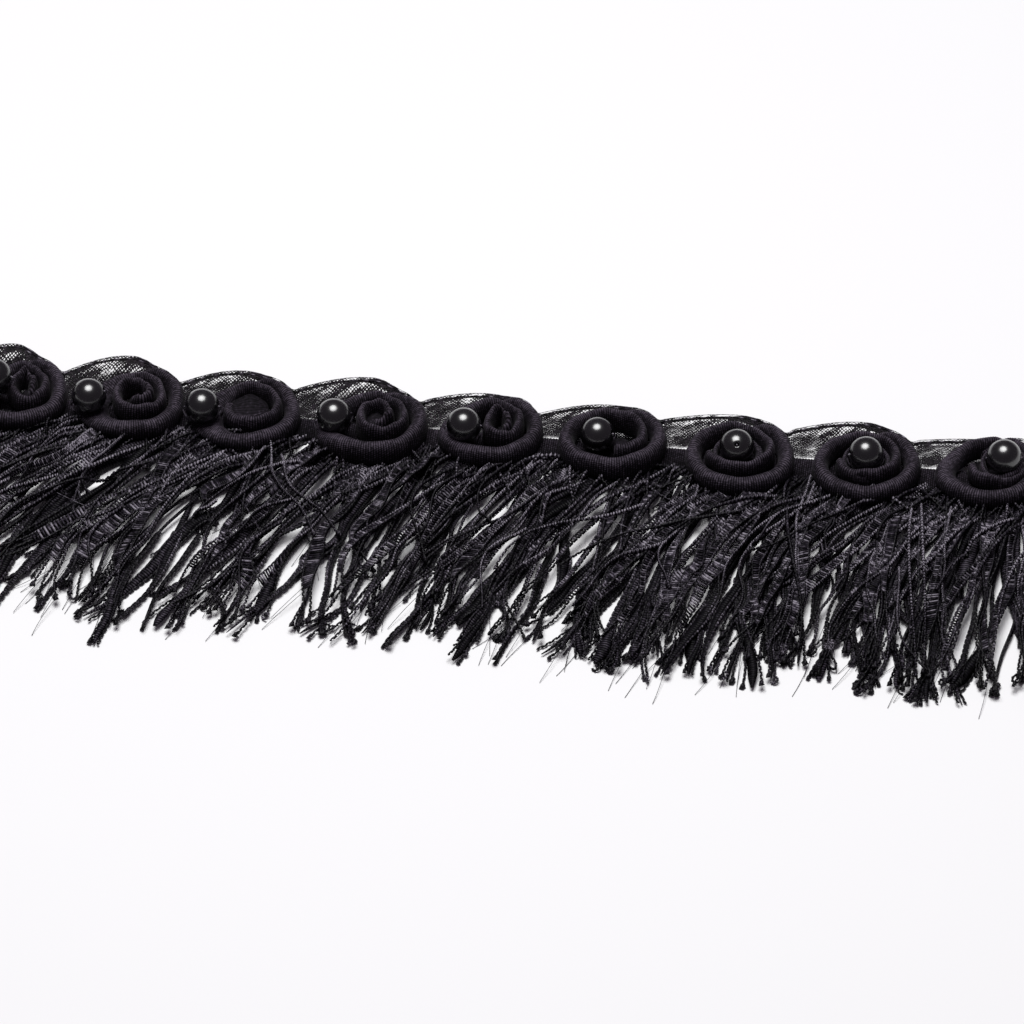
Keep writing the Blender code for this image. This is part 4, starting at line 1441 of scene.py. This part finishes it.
def pale_hair_paths(count):
    """Hairs that lie across the top of the fringe at flat angles, with a paler painted glint."""
    start = hair_roots(count, PALE_HAIR_SPAN)
    heading = np.radians(draw.normal(-20.0, 22.0, count) + 180 * draw.integers(0, 2, count))
    return start, heading, draw.uniform(5.0, 12.0, count) * MM


def drawn_hairs(start, heading, length):
    """A hair runs from start along its heading and bends by a share of its length times t^2."""
    t = shares(HAIR_STEPS)[None, :, None]
    sine, cosine, level = np.sin(heading), np.cos(heading), np.zeros(len(start))
    ahead = np.stack([cosine, sine, level], axis=-1)[:, None]
    beside = np.stack([-sine, cosine, level], axis=-1)[:, None]
    bend = draw.uniform(-0.14, 0.14, len(start))[:, None, None]
    return start[:, None] + length[:, None, None] * (ahead * t + beside * bend * t ** 2)


dark_hairs = drawn_hairs(*hair_paths(HAIRS))
falling = 1 - 0.9 * shares(HAIR_STEPS)
dark_hairs[..., 2] = np.maximum(dark_hairs[..., 2] * falling, LEAST_HAIR_HEIGHT)
pale_hairs = laid_on(fine_cords, drawn_hairs(*pale_hair_paths(PALE_HAIRS)))
hairs = np.concatenate([dark_hairs, pale_hairs])
# The pale hairs' fixed high tone is a painted glint on hairs lying over the fringe
tones = np.concatenate([0.8 * draw.random(HAIRS), np.full(PALE_HAIRS, 0.8)])
dress(tubes("loose_hairs", cords(hairs, HAIR_RADIUS, 3), yarn, tone=tones), "fringe_yarn")

# %% [markdown]
# ## Surface, light and camera
#
# The trim lies on a plain pale surface under a large soft light. The camera looks down at half a
# right angle from the fringe's side, from far away, so that the view is nearly without perspective.

# %% Floor and lights
FLOOR_HALF = 1.5
LAMP_PLACE = (-0.12, 0.15, 1.25)

paper, _, _ = finish("pale_paper", 0.9, 0.3, Base_Color=(0.8, 0.8, 0.805, 1.0))
floor_points = FLOOR_HALF * np.array([[(-1, -1, 0), (1, -1, 0)], [(-1, 1, 0), (1, 1, 0)]])
floor = sheet_mesh(
    "pale_surface", floor_points - (0, 0, LEAST_HEIGHT), floor_points[..., :2], paper)

world = bpy.data.worlds.new("soft_room")
bpy.context.scene.world = world
world.use_nodes = True
room = world.node_tree.nodes["Background"].inputs
room["Color"].default_value = (1.0, 0.86, 1.05, 1.0)
room["Strength"].default_value = 0.12
bpy.context.scene.view_settings.view_transform = "Standard"

lamp = bpy.data.lights.new("top_light", "AREA")
lamp.shape = "DISK"
lamp.size = 0.95
lamp.energy = 4.92
lamp.spread = np.radians(80)
light = bpy.data.objects.new("top_light", lamp)
light.location = LAMP_PLACE
light.rotation_euler = (-Vector(LAMP_PLACE)).to_track_quat("-Z", "Y").to_euler()
bpy.context.scene.collection.objects.link(light)
print("lamp of", lamp.energy, "W at", LAMP_PLACE)

# %% Camera
AZIMUTH = np.radians(6.5)
ELEVATION = np.radians(45)
PIXEL = 0.1714 * MM
PICTURE = 1024
DISTANCE = 2.5
SEEN_POINT = Vector((2.3 * MM, 0.3 * MM, 3.4 * MM))
SEEN_ROW = 432.5

level_ahead = Vector((-np.sin(AZIMUTH), np.cos(AZIMUTH), 0.0))
ahead = level_ahead * np.cos(ELEVATION) - Vector((0, 0, np.sin(ELEVATION)))
upward = level_ahead * np.sin(ELEVATION) + Vector((0, 0, np.cos(ELEVATION)))
aim = SEEN_POINT - upward * (PICTURE / 2 - SEEN_ROW) * PIXEL
view = bpy.data.cameras.new("view")
view.lens = view.sensor_width * DISTANCE / (PICTURE * PIXEL)
view.clip_end = 20.0
camera = bpy.data.objects.new("view", view)
camera.location = aim - ahead * DISTANCE
camera.rotation_euler = ahead.to_track_quat("-Z", "Y").to_euler()
bpy.context.scene.collection.objects.link(camera)
bpy.context.scene.camera = camera
print("camera lens:", round(view.lens), "mm")
